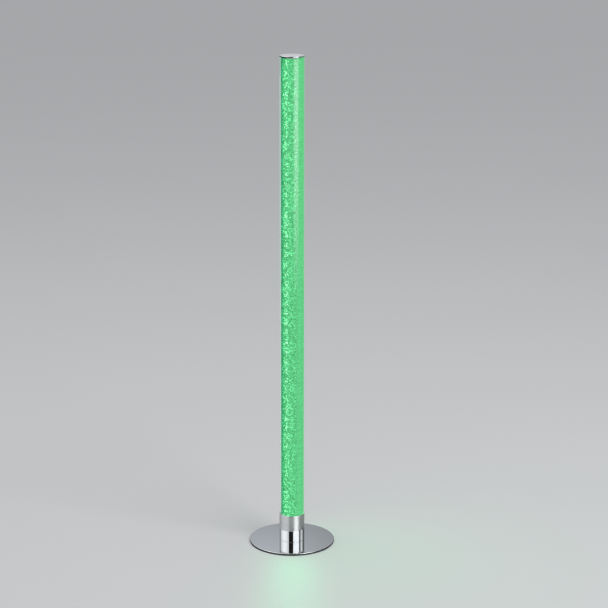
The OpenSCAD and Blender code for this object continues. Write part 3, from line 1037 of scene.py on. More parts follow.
class Shape:
    """Makes mesh objects and finishes their shading."""

    SHARP = math.radians(32.0)
    ON_AXIS = 1e-9
    HOLE_SIDES = 40

    @staticmethod
    def from_bmesh(name: str, made: bmesh.types.BMesh) -> Thing:
        """Makes an object of a bmesh.

        Args:
            name: The object's name.
            made: The mesh, which is freed.

        Returns:
            The object, shaded smooth with its sharp edges kept.
        """
        mesh = bpy.data.meshes.new(name)
        made.to_mesh(mesh)
        made.free()
        thing = bpy.data.objects.new(name, mesh)
        bpy.context.scene.collection.objects.link(thing)
        Shape.shade(thing)
        return thing

    @staticmethod
    def shade(thing: Thing) -> None:
        """Shades a piece smooth, but for edges bent more than SHARP."""
        thing.data.shade_smooth()
        thing.data.set_sharp_from_angle(angle=Shape.SHARP)

    @staticmethod
    def turned(name: str, profile: Profile, steps: int = 192) -> Thing:
        """Turns a closed profile round the Z axis.

        Args:
            name: The object's name.
            profile: The outline.
            steps: Faces round the axis.

        Returns:
            A closed shell whose faces point outwards.
        """
        made = bmesh.new()
        rings = []
        for r, z in profile.points():
            count = 1 if r < Shape.ON_AXIS else steps
            turns = (math.tau * i / steps for i in range(count))
            rings.append([made.verts.new((r * math.cos(a), r * math.sin(a), z)) for a in turns])
        for lower, upper in zip(rings, rings[1:] + rings[:1]):
            for i in range(steps):
                j = (i + 1) % steps
                corners = ((lower, i), (lower, j), (upper, j), (upper, i))
                face = list(dict.fromkeys(ring[k % len(ring)] for ring, k in corners))
                if len(face) > 2:
                    made.faces.new(face)
        bmesh.ops.recalc_face_normals(made, faces=made.faces)
        return Shape.from_bmesh(name, made)

    @staticmethod
    def drilled(thing: Thing, start: Vector, end: Vector, radius: float, far_radius: float = 0.0) -> None:
        """Cuts a round hole through a piece.

        Args:
            thing: The piece.
            start: One end of the hole's axis.
            end: Its other end.
            radius: Radius of the hole at its start.
            far_radius: Radius at its end, where the hole is a cone.
        """
        axis = end - start
        made = bmesh.new()
        radii = {"radius1": radius, "radius2": far_radius or radius}
        bmesh.ops.create_cone(made, cap_ends=True, segments=Shape.HOLE_SIDES, depth=axis.length, **radii)
        turn = axis.to_track_quat("Z", "Y").to_matrix().to_4x4()
        made.transform(Matrix.Translation((start + end) / 2.0) @ turn)
        cutter = Shape.from_bmesh("drill", made)
        modifier = thing.modifiers.new("hole", "BOOLEAN")
        modifier.operation, modifier.solver, modifier.object = "DIFFERENCE", "EXACT", cutter
        Shape.settle(thing)
        bpy.data.objects.remove(cutter)
        Shape.shade(thing)

    @staticmethod
    def settle(thing: Thing) -> None:
        """Turns a piece's modifiers into a plain mesh.

        Args:
            thing: The piece.
        """
        bpy.context.view_layer.update()
        seen = thing.evaluated_get(bpy.context.evaluated_depsgraph_get())
        mesh = bpy.data.meshes.new_from_object(seen)
        thing.modifiers.clear()
        old, thing.data = thing.data, mesh
        bpy.data.meshes.remove(old)

    @staticmethod
    def rolled(name: str, roll: Roll, turn_steps: int, height_steps: int) -> Thing:
        """Makes a sheet rolled into an open tube.

        Args:
            name: The object's name.
            roll: The sheet's sizes.
            turn_steps: Faces round the roll.
            height_steps: Faces along its height.

        Returns:
            A closed shell whose faces point outwards.
        """
        made = bmesh.new()
        sweep = [roll.start + (roll.end - roll.start) * i / turn_steps for i in range(turn_steps + 1)]
        outline = [(roll.outer, a) for a in sweep] + [(roll.inner, a) for a in reversed(sweep)]
        rings = []
        for k in range(height_steps + 1):
            z = roll.bottom + (roll.top - roll.bottom) * k / height_steps
            rings.append([made.verts.new((r * math.cos(a), r * math.sin(a), z)) for r, a in outline])
        around = len(outline)
        for lower, upper in zip(rings, rings[1:]):
            for i in range(around):
                j = (i + 1) % around
                made.faces.new((lower[i], lower[j], upper[j], upper[i]))
        for ring in (rings[0], rings[-1]):
            for i in range(turn_steps):
                made.faces.new((ring[i], ring[i + 1], ring[around - 2 - i], ring[around - 1 - i]))
        bmesh.ops.recalc_face_normals(made, faces=made.faces)
        return Shape.from_bmesh(name, made)


@dataclass(frozen=True)
class Roll:
    """Sizes of a rolled sheet: radii and heights in metres, and turns in radians.

    Attributes:
        outer: Its outer radius.
        inner: Its inner radius.
        start: Turn at which it starts.
        end: Turn at which it ends.
        bottom: Height of its lower edge.
        top: Height of its upper edge.
    """

    outer: float
    inner: float
    start: float
    end: float
    bottom: float
    top: float


class Recipe:
    """A Geometry Nodes tree with named inputs, which makes plain meshes."""

    def __init__(self, name: str) -> None:
        """Starts an empty tree.

        Args:
            name: The tree's name.
        """
        self.tree = bpy.data.node_groups.new(name, "GeometryNodeTree")
        self.graph = Graph(self.tree)
        self.tree.interface.new_socket("Geometry", in_out="OUTPUT", socket_type="NodeSocketGeometry")
        self._sockets: dict[str, str] = {}
        self._entry = self.tree.nodes.new("NodeGroupInput")

    def input(self, name: str, kind: str = "Float") -> Link:
        """Adds a named input.

        Args:
            name: Its name.
            kind: Blender's name for its type, without the prefix.

        Returns:
            Its link inside the tree.
        """
        made = self.tree.interface.new_socket(name, in_out="INPUT", socket_type=f"NodeSocket{kind}")
        self._sockets[name] = made.identifier
        return Link(self.graph, self._entry.outputs[name])

    def finish(self, geometry: Link, material: Link) -> None:
        """Ends the tree: makes copies real, shades them smooth and gives them their material.

        Args:
            geometry: What the tree makes.
            material: The material.
        """
        real = self.graph.node("GeometryNodeRealizeInstances", values={"Geometry": geometry})
        smooth = self.graph.node("GeometryNodeSetShadeSmooth", values={"Geometry": real})
        look = {"Geometry": smooth, "Material": material}
        painted = self.graph.node("GeometryNodeSetMaterial", values=look)
        self.graph.node("NodeGroupOutput", values={"Geometry": painted})

    def make(self, name: str, values: Mapping[str, Any]) -> Thing:
        """Runs the tree.

        Args:
            name: Name of the object that is made.
            values: What goes into the named inputs.

        Returns:
            An object with a plain mesh and no modifier.
        """
        thing = bpy.data.objects.new(name, bpy.data.meshes.new(name))
        modifier = thing.modifiers.new("recipe", "NODES")
        modifier.node_group = self.tree
        for key, value in values.items():
            modifier[self._sockets[key]] = value
        bpy.context.scene.collection.objects.link(thing)
        Shape.settle(thing)
        return thing


@dataclass
class BubbleField:
    """Bubbles that stand on the rolled sheet, spread by a Geometry Nodes tree.

    Attributes:
        spacing: Least distance between two bubbles' middles, in metres.
        smallest: Least radius of a bubble.
        largest: Greatest radius of a bubble.
        rise: Height of a bubble as a share of its radius.
        halo: Distance from a lamp's place on the sheet over which bubbles get its painted glow.
        crowd: How many points are tried in a square of the spacing.
        ring_turns: Angles from a dome's top to its rings of points, in degrees.
        sides: Faces round a dome.
        recipe: The tree.
        dome: The dome that it copies.
    """

    SIZES = (
        "Radius", "Start", "End", "Bottom", "Top", "Spacing", "Smallest", "Largest", "Rise",
        "First Lamp", "Lamp Pitch", "Lamp Line", "Halo",
    )

    spacing: float = 3.1 * MM
    smallest: float = 1.1 * MM
    largest: float = 2.1 * MM
    rise: float = 0.28
    halo: float = 5.2 * MM
    crowd: float = 4.0
    ring_turns: tuple[float, ...] = (42.0, 78.0)
    sides: int = 9
    recipe: Recipe = field(init=False)
    dome: Thing = field(init=False)

    def __post_init__(self) -> None:
        """Makes the dome and the tree."""
        self.dome = self._make_dome()
        self.recipe = self._make_recipe()

    def _make_dome(self) -> Thing:
        """Makes a closed dome of radius and height 1, with few faces.

        Returns:
            The dome.
        """
        made = bmesh.new()
        top = made.verts.new((0.0, 0.0, 1.0))
        rings = []
        for polar in map(math.radians, self.ring_turns):
            turns = (math.tau * i / self.sides for i in range(self.sides))
            r = math.sin(polar) / math.sin(math.radians(self.ring_turns[-1]))
            rings.append([made.verts.new((r * math.cos(a), r * math.sin(a), math.cos(polar))) for a in turns])
        for i in range(self.sides):
            j = (i + 1) % self.sides
            made.faces.new((top, rings[0][i], rings[0][j]))
            for upper, lower in zip(rings, rings[1:]):
                made.faces.new((upper[i], lower[i], lower[j], upper[j]))
        made.faces.new(tuple(reversed(rings[-1])))
        bmesh.ops.recalc_face_normals(made, faces=made.faces)
        return Shape.from_bmesh("dome", made)

    def _make_recipe(self) -> Recipe:
        """Builds the tree: points on a flat sheet, rolled up, with a dome on each.

        Returns:
            The tree.
        """
        recipe = Recipe("bubble field")
        graph = recipe.graph
        sizes = map(recipe.input, self.SIZES)
        radius, start, end, bottom, top, spacing, smallest, largest, rise, first, pitch, line, halo = sizes
        dome = recipe.input("Dome", "Object")
        seed = recipe.input("Seed", "Int")
        material = recipe.input("Material", "Material")

        sheet = {"Size X": radius * (end - start), "Size Y": top - bottom, "Vertices X": 2, "Vertices Y": 2}
        grid = graph.node("GeometryNodeMeshGrid", values=sheet)
        density = self.crowd / (spacing * spacing)
        spread = {"Mesh": grid, "Distance Min": spacing, "Density Max": density, "Seed": seed}
        points = graph.node("GeometryNodeDistributePointsOnFaces", {"distribute_method": "POISSON"}, spread)

        along, up, _ = graph.split(graph.node("GeometryNodeInputPosition"))
        turn = (start + end) * 0.5 + along / radius
        height = (bottom + top) * 0.5 + up
        chance = graph.node("FunctionNodeRandomValue", {"data_type": "FLOAT"}, {"Seed": seed})
        aside = (turn - line) * radius
        above = (height - first).math("PINGPONG", pitch * 0.5)
        nearness = ((aside * aside + above * above) / (halo * halo) * -1.0).math("EXPONENT")
        points = self._stored(graph, points, Finishes.BUBBLE.level, chance)
        points = self._stored(graph, points, Finishes.BUBBLE.star, nearness)
        rolled = graph.vector(turn.math("COSINE") * radius, turn.math("SINE") * radius, height)
        points = graph.node("GeometryNodeSetPosition", values={"Geometry": points, "Position": rolled})

        outward = graph.node("GeometryNodeInputPosition") * (1.0, 1.0, 0.0)
        facing = graph.node("FunctionNodeAlignRotationToVector", {"axis": "Z"}, {"Vector": outward})
        size = {"Min": smallest, "Max": largest, "Seed": seed + 1.0}
        wide = graph.node("FunctionNodeRandomValue", {"data_type": "FLOAT"}, size)
        tall = graph.node("FunctionNodeRandomValue", {"data_type": "FLOAT"}, {**size, "Seed": seed + 2.0})
        shape = graph.vector(wide, tall, (wide + tall) * 0.5 * rise)
        dome_shape = graph.node("GeometryNodeObjectInfo", values={"Object": dome}, output="Geometry")
        copies = {"Points": points, "Instance": dome_shape, "Rotation": facing, "Scale": shape}
        recipe.finish(graph.node("GeometryNodeInstanceOnPoints", values=copies), material)
        return recipe

    @staticmethod
    def _stored(graph: Graph, points: Link, name: str, value: Link) -> Link:
        """Stores a number on each point.

        Args:
            graph: The tree.
            points: The points.
            name: Name of the number.
            value: The number.

        Returns:
            The points with it.
        """
        settings = {"data_type": "FLOAT", "domain": "POINT"}
        values = {"Geometry": points, "Name": name, "Value": value}
        return graph.node("GeometryNodeStoreNamedAttribute", settings, values)

    def make(self, name: str, roll: Roll, lamps: LampRow, seed: int) -> Thing:
        """Covers a stretch of the sheet with bubbles.

        Args:
            name: Name of the piece.
            roll: The stretch. Its outer radius is where the bubbles stand.
            lamps: The row of lamps that the bubbles catch the light of.
            seed: Seed of the spread.

        Returns:
            The piece.
        """
        sizes = (
            roll.outer, roll.start, roll.end, roll.bottom, roll.top,
            self.spacing, self.smallest, self.largest, self.rise,
            lamps.first, lamps.pitch, lamps.line, self.halo,
        )
        others = {"Dome": self.dome, "Seed": seed, "Material": Finishes.BUBBLE.material()}
        return self.recipe.make(name, {**dict(zip(self.SIZES, sizes)), **others})

    def clear(self) -> None:
        """Removes the dome that the tree copied."""
        bpy.data.objects.remove(self.dome)


@dataclass(frozen=True)
class LampRow:
    """The row of lamps, as the sheet shows it.

    Attributes:
        first: Height of the lowest lamp, in metres.
        pitch: Distance from one lamp to the next.
        line: Turn of their line, in radians.
    """

    first: float
    pitch: float
    line: float


# Sub-assemblies

@dataclass(frozen=True)
class Extent:
    """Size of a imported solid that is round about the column's axis, in metres.

    Attributes:
        outer: Its greatest distance from the axis.
        bottom: Height of its underside.
        top: Height of its top.
    """

    outer: float
    bottom: float
    top: float

    @classmethod
    def of(cls, node: str) -> Extent:
        """Reads a solid's size off the frame.

        Args:
            node: The solid's name.

        Returns:
            Its size.
        """
        low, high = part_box(node)
        outer = max(vertex.co.xy.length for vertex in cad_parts[node].data.vertices)
        return cls(outer, low.z, high.z)

    def ring(self, wall: float, roundings: tuple[float, float, float, float], arc_steps: int = 4) -> Profile:
        """Gives the outline of a ring of this size.

        Args:
            wall: Its wall, which is its outer radius for a disc.
            roundings: Those of its inner and outer lower corners, then of its outer and inner upper ones.
            arc_steps: Faces along one rounding.

        Returns:
            The outline.
        """
        inner = self.outer - wall
        places = ((inner, self.bottom), (self.outer, self.bottom), (self.outer, self.top), (inner, self.top))
        corners = tuple(Corner(*place, rounding) for place, rounding in zip(places, roundings))
        return Profile(corners, arc_steps)


class Assembly(ABC):
    """A group of pieces that are built and dressed together."""

    @abstractmethod
    def build(self) -> list[Thing]:
        """Builds and dresses the pieces."""

    @staticmethod
    def dress(node: str, finish: Finish) -> Thing:
        """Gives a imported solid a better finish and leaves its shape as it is.

        Args:
            node: The solid's name.
            finish: The finish.

        Returns:
            The solid's object.
        """
        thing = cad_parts[node]
        for slot in thing.material_slots:
            slot.material = finish.material()
        return thing

    @staticmethod
    def put(thing: Thing, finish: Finish, *nodes: str) -> Thing:
        """Gives a new piece its finish and its place on the lamp.

        Args:
            thing: The piece.
            finish: Its finish.
            nodes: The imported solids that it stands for.

        Returns:
            The piece.
        """
        thing.data.materials.clear()
        thing.data.materials.append(finish.material())
        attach(thing, BODY)
        if nodes:
            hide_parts(*nodes)
        return thing


@dataclass
class Foot(Assembly):
    """Foot pad, foot plate and stub, with the disc, grommet and screws in them.

    Attributes:
        rim: Rounding along the plate's upper rim.
        break_edge: Rounding of the plate's and the stub's other edges.
        pad_ring: Width of the pad's ring.
        stub_wall: Wall of the stub.
        screw_shank: Radius of the plate's screw holes.
        screw_head: Radius of their countersinks at the plate's underside.
        screw_sink: Depth of the countersinks.
        screw_ring: Radius of the ring that the screws stand on.
        screw_turn: Turn of the first screw, in degrees from +X.
        screw_count: Number of screws.
        inlet: Radius of the grommet's hole.
        squeeze: Rounding of the pad's lower edges, as a share of its thickness.
        pad_sides: Faces round the pad.
        plate_sides: Faces round the plate.
        spare: How far the drills for the plate reach past its faces.
    """

    rim: float = 1.0 * MM
    break_edge: float = 0.35 * MM
    pad_ring: float = 50.0 * MM
    stub_wall: float = 3.0 * MM
    screw_shank: float = 2.2 * MM
    screw_head: float = 4.2 * MM
    screw_sink: float = 2.2 * MM
    screw_ring: float = 14.84 * MM
    screw_turn: float = 300.0
    screw_count: int = 3
    inlet: float = 4.6 * MM
    squeeze: float = 0.4
    pad_sides: int = 160
    plate_sides: int = 224
    spare: float = 0.5 * MM

    def build(self) -> list[Thing]:
        """Builds and dresses the foot.

        Returns:
            The pieces.
        """
        return [
            self._pad(),
            self._plate(),
            self._stub(),
            self.dress("stub_floor", Finishes.FLOOR),
            self.dress("cord_grommet", Finishes.SEAL),
            self.dress("plate_screws", Finishes.SCREW),
            self.dress("socket_screws", Finishes.SCREW),
        ]

    def _pad(self) -> Thing:
        """Turns the foam ring, whose edges are pressed round.

        Returns:
            The pad.
        """
        size = Extent.of("foot_pad")
        soft = self.squeeze * (size.top - size.bottom)
        outline = size.ring(self.pad_ring, (soft, soft, soft / 2.0, soft / 2.0))
        return self.put(Shape.turned("foot_pad_foam", outline, self.pad_sides), Finishes.PAD, "foot_pad")

    def _plate(self) -> Thing:
        """Turns the plate and drills its screw holes.

        Returns:
            The plate.
        """
        size = Extent.of("foot_plate")
        outline = size.ring(size.outer, (0.0, self.break_edge / 2.0, self.rim, 0.0), arc_steps=6)
        plate = Shape.turned("foot_plate_polished", outline, self.plate_sides)
        up = Vector((0.0, 0.0, 1.0))
        slope = (self.screw_head - self.screw_shank) / self.screw_sink
        wide = self.screw_head + slope * self.spare
        for i in range(self.screw_count):
            turn = math.radians(self.screw_turn + 360.0 * i / self.screw_count)
            foot = Vector((self.screw_ring * math.cos(turn), self.screw_ring * math.sin(turn), size.bottom))
            start, end = foot - up * self.spare, foot + up * (size.top - size.bottom + self.spare)
            Shape.drilled(plate, start, end, self.screw_shank)
            Shape.drilled(plate, start, foot + up * self.screw_sink, wide, self.screw_shank)
        return self.put(plate, Finishes.PLATE, "foot_plate")

    def _stub(self) -> Thing:
        """Turns the stub and drills the grommet's hole.

        Returns:
            The stub.
        """
        size = Extent.of("chrome_stub")
        outline = size.ring(self.stub_wall, (0.0, self.break_edge, self.break_edge, 0.0))
        stub = Shape.turned("stub_polished", outline)
        low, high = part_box("cord_grommet")
        level = Vector((0.0, 0.0, (low.z + high.z) / 2.0))
        back = Vector((0.0, 1.0, 0.0))
        start = level + back * (size.outer - self.stub_wall - self.stub_wall)
        Shape.drilled(stub, start, level + back * (size.outer + self.stub_wall), self.inlet)
        return self.put(stub, Finishes.STUB, "chrome_stub")


@dataclass
class Collar(Assembly):
    """Satin collar with its set screw.

    Attributes:
        wall: Wall of the collar.
        break_edge: Rounding of its outer edges.
        hole: Radius of the set screw's hole.
    """

    wall: float = 1.3 * MM
    break_edge: float = 0.35 * MM
    hole: float = 2.2 * MM

    def build(self) -> list[Thing]:
        """Turns the collar, drills it and dresses the screw.

        Returns:
            The pieces.
        """
        size = Extent.of("satin_collar")
        inside, outside = self.break_edge / 3.0, self.break_edge
        outline = size.ring(self.wall, (inside, outside, outside, inside), arc_steps=3)
        collar = Shape.turned("collar_turned", outline)
        low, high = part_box("collar_screw")
        middle = (low + high) / 2.0
        aim = Vector((middle.x, middle.y, 0.0)).normalized()
        level = Vector((0.0, 0.0, middle.z))
        start = level + aim * (size.outer - self.wall - self.wall)
        Shape.drilled(collar, start, level + aim * (size.outer + self.wall), self.hole)
        return [
            self.put(collar, Finishes.COLLAR, "satin_collar"),
            self.dress("collar_screw", Finishes.SET_SCREW),
        ]


@dataclass
class Column(Assembly):
    """Clear tube with the rolled bubble sheet in it.

    Attributes:
        tube_wall: Wall of the clear tube.
        tube_edge: Rounding of the tube's edges.
        sheet_wall: Wall of the sheet under its bubbles.
        relief: Height that the bubbles have above the sheet.
        seam: Width of the gap where the rolled sheet meets itself.
        carrier_turn: Turn of the lamp carrier, behind which the seam lies, in degrees from +X.
        margin: Width of the sheet's plain border beside the seam, in degrees.
        plain: Turns between which the sheet has no bubbles, in degrees.
        lamp_line: Turn at which the sheet shows the lamps to the front, in degrees.
        lamp_pitch: Distance from one lamp to the next.
        border: Height of the borders without bubbles, in radii of the largest bubble.
        seed: Seed of the bubbles' spread.
        seed_step: How much greater the seed of the next stretch is.
        bubbles: What makes the bubbles.
    """

    tube_wall: float = 2.5 * MM
    tube_edge: float = 0.25 * MM
    sheet_wall: float = 0.6 * MM
    relief: float = 0.6 * MM
    seam: float = 2.0 * MM
    carrier_turn: float = 150.0
    margin: float = 22.0
    plain: Point = (-55.0, 15.0)
    lamp_line: float = -120.5
    lamp_pitch: float = 23.0 * MM
    border: float = 1.5
    seed: int = 11
    seed_step: int = 10
    bubbles: BubbleField = field(default_factory=BubbleField)

    def build(self) -> list[Thing]:
        """Builds and dresses the tube, the sheet and its bubbles.

        Returns:
            The pieces.
        """
        pieces = [self._tube(), self._sheet()]
        lamps = self._lamps()
        stretches = {
            "bubbles_left": (self.carrier_turn + self.margin - 360.0, self.plain[0]),
            "bubbles_right": (self.plain[1], self.carrier_turn - self.margin),
        }
        edge = self.border * self.bubbles.largest
        for i, (name, turns) in enumerate(stretches.items()):
            made = self.bubbles.make(name, self._roll(*turns, edge), lamps, self.seed + self.seed_step * i)
            pieces.append(self.put(made, Finishes.BUBBLE))
        self.bubbles.clear()
        return [*pieces, self.dress("tube_washer", Finishes.SEAL)]

    def _tube(self) -> Thing:
        """Turns the clear tube."""
        outline = Extent.of("clear_tube").ring(self.tube_wall, (self.tube_edge,) * 4, arc_steps=3)
        return self.put(Shape.turned("tube_clear", outline), Finishes.TUBE, "clear_tube")

    def _roll(self, start: float, end: float, edge: float = 0.0) -> Roll:
        """Gives a stretch of the sheet, without its bubbles' height.

        Args:
            start: Turn at which it starts, in degrees.
            end: Turn at which it ends.
            edge: How much is left out at its foot and at its head.

        Returns:
            The stretch.
        """
        size = Extent.of("bubble_liner")
        outer = size.outer - self.relief
        turns = (math.radians(start), math.radians(end))
        return Roll(outer, outer - self.sheet_wall, *turns, size.bottom + edge, size.top - edge)

    def _sheet(self) -> Thing:
        """Rolls the sheet, open at its seam.

        Returns:
            The sheet.
        """
        half = math.degrees(self.seam / 2.0 / Extent.of("bubble_liner").outer)
        roll = self._roll(self.carrier_turn + half - 360.0, self.carrier_turn - half)
        sheet = Shape.rolled("sheet_bubbled", roll, turn_steps=160, height_steps=60)
        return self.put(sheet, Finishes.SHEET, "bubble_liner")

    def _lamps(self) -> LampRow:
        """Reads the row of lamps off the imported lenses.

        Returns:
            The row.
        """
        low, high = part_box("led_lenses")
        count = round((high.z - low.z) / self.lamp_pitch)
        first = (low.z + high.z - count * self.lamp_pitch) / 2.0
        LOG.info("lamps in a row: %d, the first at %.1f mm", count + 1, first / MM)
        return LampRow(first, self.lamp_pitch, math.radians(self.lamp_line))


@dataclass
class Cap(Assembly):
    """Chrome cap with its stud and the end plug under it.

    Attributes:
        rim: Rounding along the cap's upper rim.
        lip_gap: Gap between the tube and the cap's lip.
        lip_wall: Wall of the lip.
        boss: Radius of the boss in the middle.
        bore: Radius of the boss's bore.
        roof: Metal left above the bore.
        tube_wall: Wall of the clear tube.
        thick: Thickness of the cap above the tube.
    """

    rim: float = 0.8 * MM
    lip_gap: float = 0.2 * MM
    lip_wall: float = 1.5 * MM
    boss: float = 4.0 * MM
    bore: float = 2.6 * MM
    roof: float = 1.0 * MM
    tube_wall: float = 2.5 * MM
    thick: float = 3.0 * MM

    def build(self) -> list[Thing]:
        """Turns the cap and dresses what holds it.

        Returns:
            The pieces.
        """
        size = Extent.of("top_cap")
        seat, roof = size.top - self.thick, size.top - self.roof
        lip = size.outer - self.tube_wall - self.lip_gap
        soft = self.rim / 4.0
        cap = Shape.turned("cap_polished", Profile((
            Corner(0.0, roof), Corner(self.bore, roof), Corner(self.bore, size.bottom),
            Corner(self.boss, size.bottom), Corner(self.boss, seat),
            Corner(lip - self.lip_wall, seat), Corner(lip - self.lip_wall, size.bottom),
            Corner(lip, size.bottom, soft), Corner(lip, seat),
            Corner(size.outer, seat, soft), Corner(size.outer, size.top, self.rim),
            Corner(0.0, size.top),
        )))
        return [
            self.put(cap, Finishes.CAP, "top_cap"),
            self.dress("cap_stud", Finishes.SCREW),
            self.dress("end_plug", Finishes.SOCKET),
        ]


@dataclass
class Inside(Assembly):
    """The socket, the driver and the lamp column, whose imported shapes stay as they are.

    Attributes:
        finishes: Each solid's finish.
    """

    finishes: Mapping[str, Finish] = field(default_factory=lambda: {
        "tube_socket": Finishes.SOCKET,
        "driver_board": Finishes.DRIVER,
        "board_screws": Finishes.SCREW,
        "driver_capacitor": Finishes.SLEEVE,
        "driver_choke": Finishes.WINDING,
        "driver_chips": Finishes.CHIP,
        "cord_terminal": Finishes.TERMINAL,
        "lead_header": Finishes.SOCKET,
        "lamp_leads": Finishes.LEAD,
        "led_carrier": Finishes.CARRIER,
        "carrier_screws": Finishes.SCREW,
        "lower_led_board": Finishes.LAMP_BOARD,
        "upper_led_board": Finishes.LAMP_BOARD,
        "board_bridge": Finishes.SOLDER,
        "lower_leds": Finishes.PACKAGE,
        "upper_leds": Finishes.PACKAGE,
        "led_lenses": Finishes.LENS,
        "led_resistors": Finishes.CHIP,
    })

    def build(self) -> list[Thing]:
        """Dresses the solids."""
        return [self.dress(node, finish) for node, finish in self.finishes.items()]


# Studio

class Card(Enum):
    """Which rays meet a card beside the set."""

    REFLECTION = "visible_glossy"
    CLEAR_WALL = "visible_transmission"

    def show(self, thing: Thing) -> None:
        """Puts a card on the set, where only its own rays meet it.

        Args:
            thing: The card.
        """
        for ray in ("camera", "diffuse", "glossy", "transmission", "volume_scatter", "shadow"):
            name = f"visible_{ray}"
            setattr(thing, name, name == self.value)


@dataclass(frozen=True)
class Strip(ABC):
    """A strip bent round the lamp, which shows only in its reflections or through its clear wall.

    Attributes:
        name: Its name.
        left: Turn of its left edge from the front, in degrees, positive to the right.
        right: Turn of its right edge.
        card: Which rays meet it.
    """

    LEAST_FACES = 8
    FACE_TURN = 5.0

    name: str
    left: float
    right: float
    card: Card = field(default=Card.REFLECTION, kw_only=True)

    @abstractmethod
    def edges(self) -> tuple[Point, Point]:
        """Gives its two long edges' distance from the axis and height."""

    @abstractmethod
    def light(self, paint: Paint) -> Link:
        """Builds its light."""

    def build(self) -> None:
        """Makes the strip as one row of faces, and puts it on the set."""
        sweep = self.right - self.left
        steps = max(self.LEAST_FACES, round(sweep / self.FACE_TURN))
        made = bmesh.new()
        columns = []
        for i in range(steps + 1):
            turn = math.radians(self.left + sweep * i / steps)
            places = ((r * math.sin(turn), -r * math.cos(turn), z) for r, z in self.edges())
            columns.append([made.verts.new(place) for place in places])
        layer = made.loops.layers.uv.new("card")
        for i, (a, b) in enumerate(zip(columns, columns[1:])):
            face = made.faces.new((a[0], a[1], b[1], b[0]))
            for loop, (along, up) in zip(face.loops, ((i, 0), (i, 1), (i + 1, 1), (i + 1, 0))):
                loop[layer].uv = (along / steps, up)
        thing = Shape.from_bmesh(self.name, made)
        thing.data.materials.append(material_of(self.name, self.light))
        self.card.show(thing)


@dataclass(frozen=True)
class Panel(Strip):
    """An upright card beside the lamp.

    Attributes:
        distance: Distance from the lamp, in metres.
        bottom: Height of its lower edge.
        top: Height of its upper edge.
        level: How bright it is, where 1 is white.
        rise: Height over which it brightens from its lower edge.
        fade: Share of its width over which its sides fade.
        side_level: Brightness at its sides, as a share.
        colour: Colour of its light.
    """

    distance: float
    bottom: float
    top: float
    level: float
    rise: float = 0.0
    fade: float = 0.0
    side_level: float = 0.0
    colour: Colour = DAYLIGHT

    def edges(self) -> tuple[Point, Point]:
        """Gives its lower and upper edge."""
        return (self.distance, self.bottom), (self.distance, self.top)

    def light(self, paint: Paint) -> Link:
        """Builds a light that may fade towards its foot and its sides.

        Args:
            paint: The material's tree.

        Returns:
            The shader.
        """
        across, up, _ = paint.split(paint.node("ShaderNodeTexCoord", output="UV"))
        level: Operand = self.level
        if self.rise > 0.0:
            level = up.ramp(0.0, self.rise / (self.top - self.bottom)) * level
        if self.fade > 0.0:
            inward = (across - 0.5).math("ABSOLUTE").smooth(0.5, 0.5 - self.fade)
            level = (inward * (1.0 - self.side_level) + self.side_level) * level
        return paint.node("ShaderNodeEmission", values={"Color": self.colour, "Strength": level})


@dataclass(frozen=True)
class Mat(Strip):
    """A flat mat round the lamp's foot, whose underside gives no light.

    Attributes:
        inner: Its inner radius, in metres.
        outer: Its outer radius.
        level: How bright it is, where 1 is white.
        lift: Its height above the floor.
    """

    LEAST_FACES = 12
    FACE_TURN = 4.0

    inner: float
    outer: float
    level: float
    lift: float = 0.5 * MM

    def edges(self) -> tuple[Point, Point]:
        """Gives its inner and outer edge."""
        return (self.inner, self.lift), (self.outer, self.lift)

    def light(self, paint: Paint) -> Link:
        """Builds a light for its upper face.

        Args:
            paint: The material's tree.

        Returns:
            The shader.
        """
        under = paint.node("ShaderNodeNewGeometry", output="Backfacing")
        light = paint.node("ShaderNodeEmission", values={"Color": DAYLIGHT, "Strength": self.level})
        gone = paint.node("ShaderNodeBsdfTransparent")
        return paint.node("ShaderNodeMixShader", values={0: under, 1: light, 2: gone})


@dataclass(frozen=True)
class Lamp:
    """A soft lamp of the studio, or the glow that the column throws on the floor.

    Attributes:
        name: Its name.
        place: Its middle, in metres.
        aim: Point that it faces.
        width: Its width, in metres.
        height: Its height.
        level: How bright it is, where 1 is white.
        colour: Its colour.
        mirrored: Whether reflections show it.
        spread: Angle over which it throws light, in degrees.
    """

    name: str
    place: Spot
    aim: Spot
    width: float
    height: float
    level: float
    colour: Colour = (1.0, 1.0, 1.0)
    mirrored: bool = True
    spread: float = 180.0

    def build(self) -> None:
        """Makes the lamp and turns it to its point."""
        data = bpy.data.lights.new(self.name, "AREA")
        data.shape = "RECTANGLE"
        data.size, data.size_y = self.width, self.height
        data.color = self.colour
        data.energy = self.level * math.pi * self.width * self.height
        data.spread = math.radians(self.spread)
        thing = bpy.data.objects.new(self.name, data)
        thing.location = self.place
        thing.rotation_euler = (Vector(self.aim) - Vector(self.place)).to_track_quat("-Z", "Y").to_euler()
        thing.visible_camera = False
        thing.visible_glossy = self.mirrored
        thing.visible_transmission = self.mirrored
        bpy.context.scene.collection.objects.link(thing)


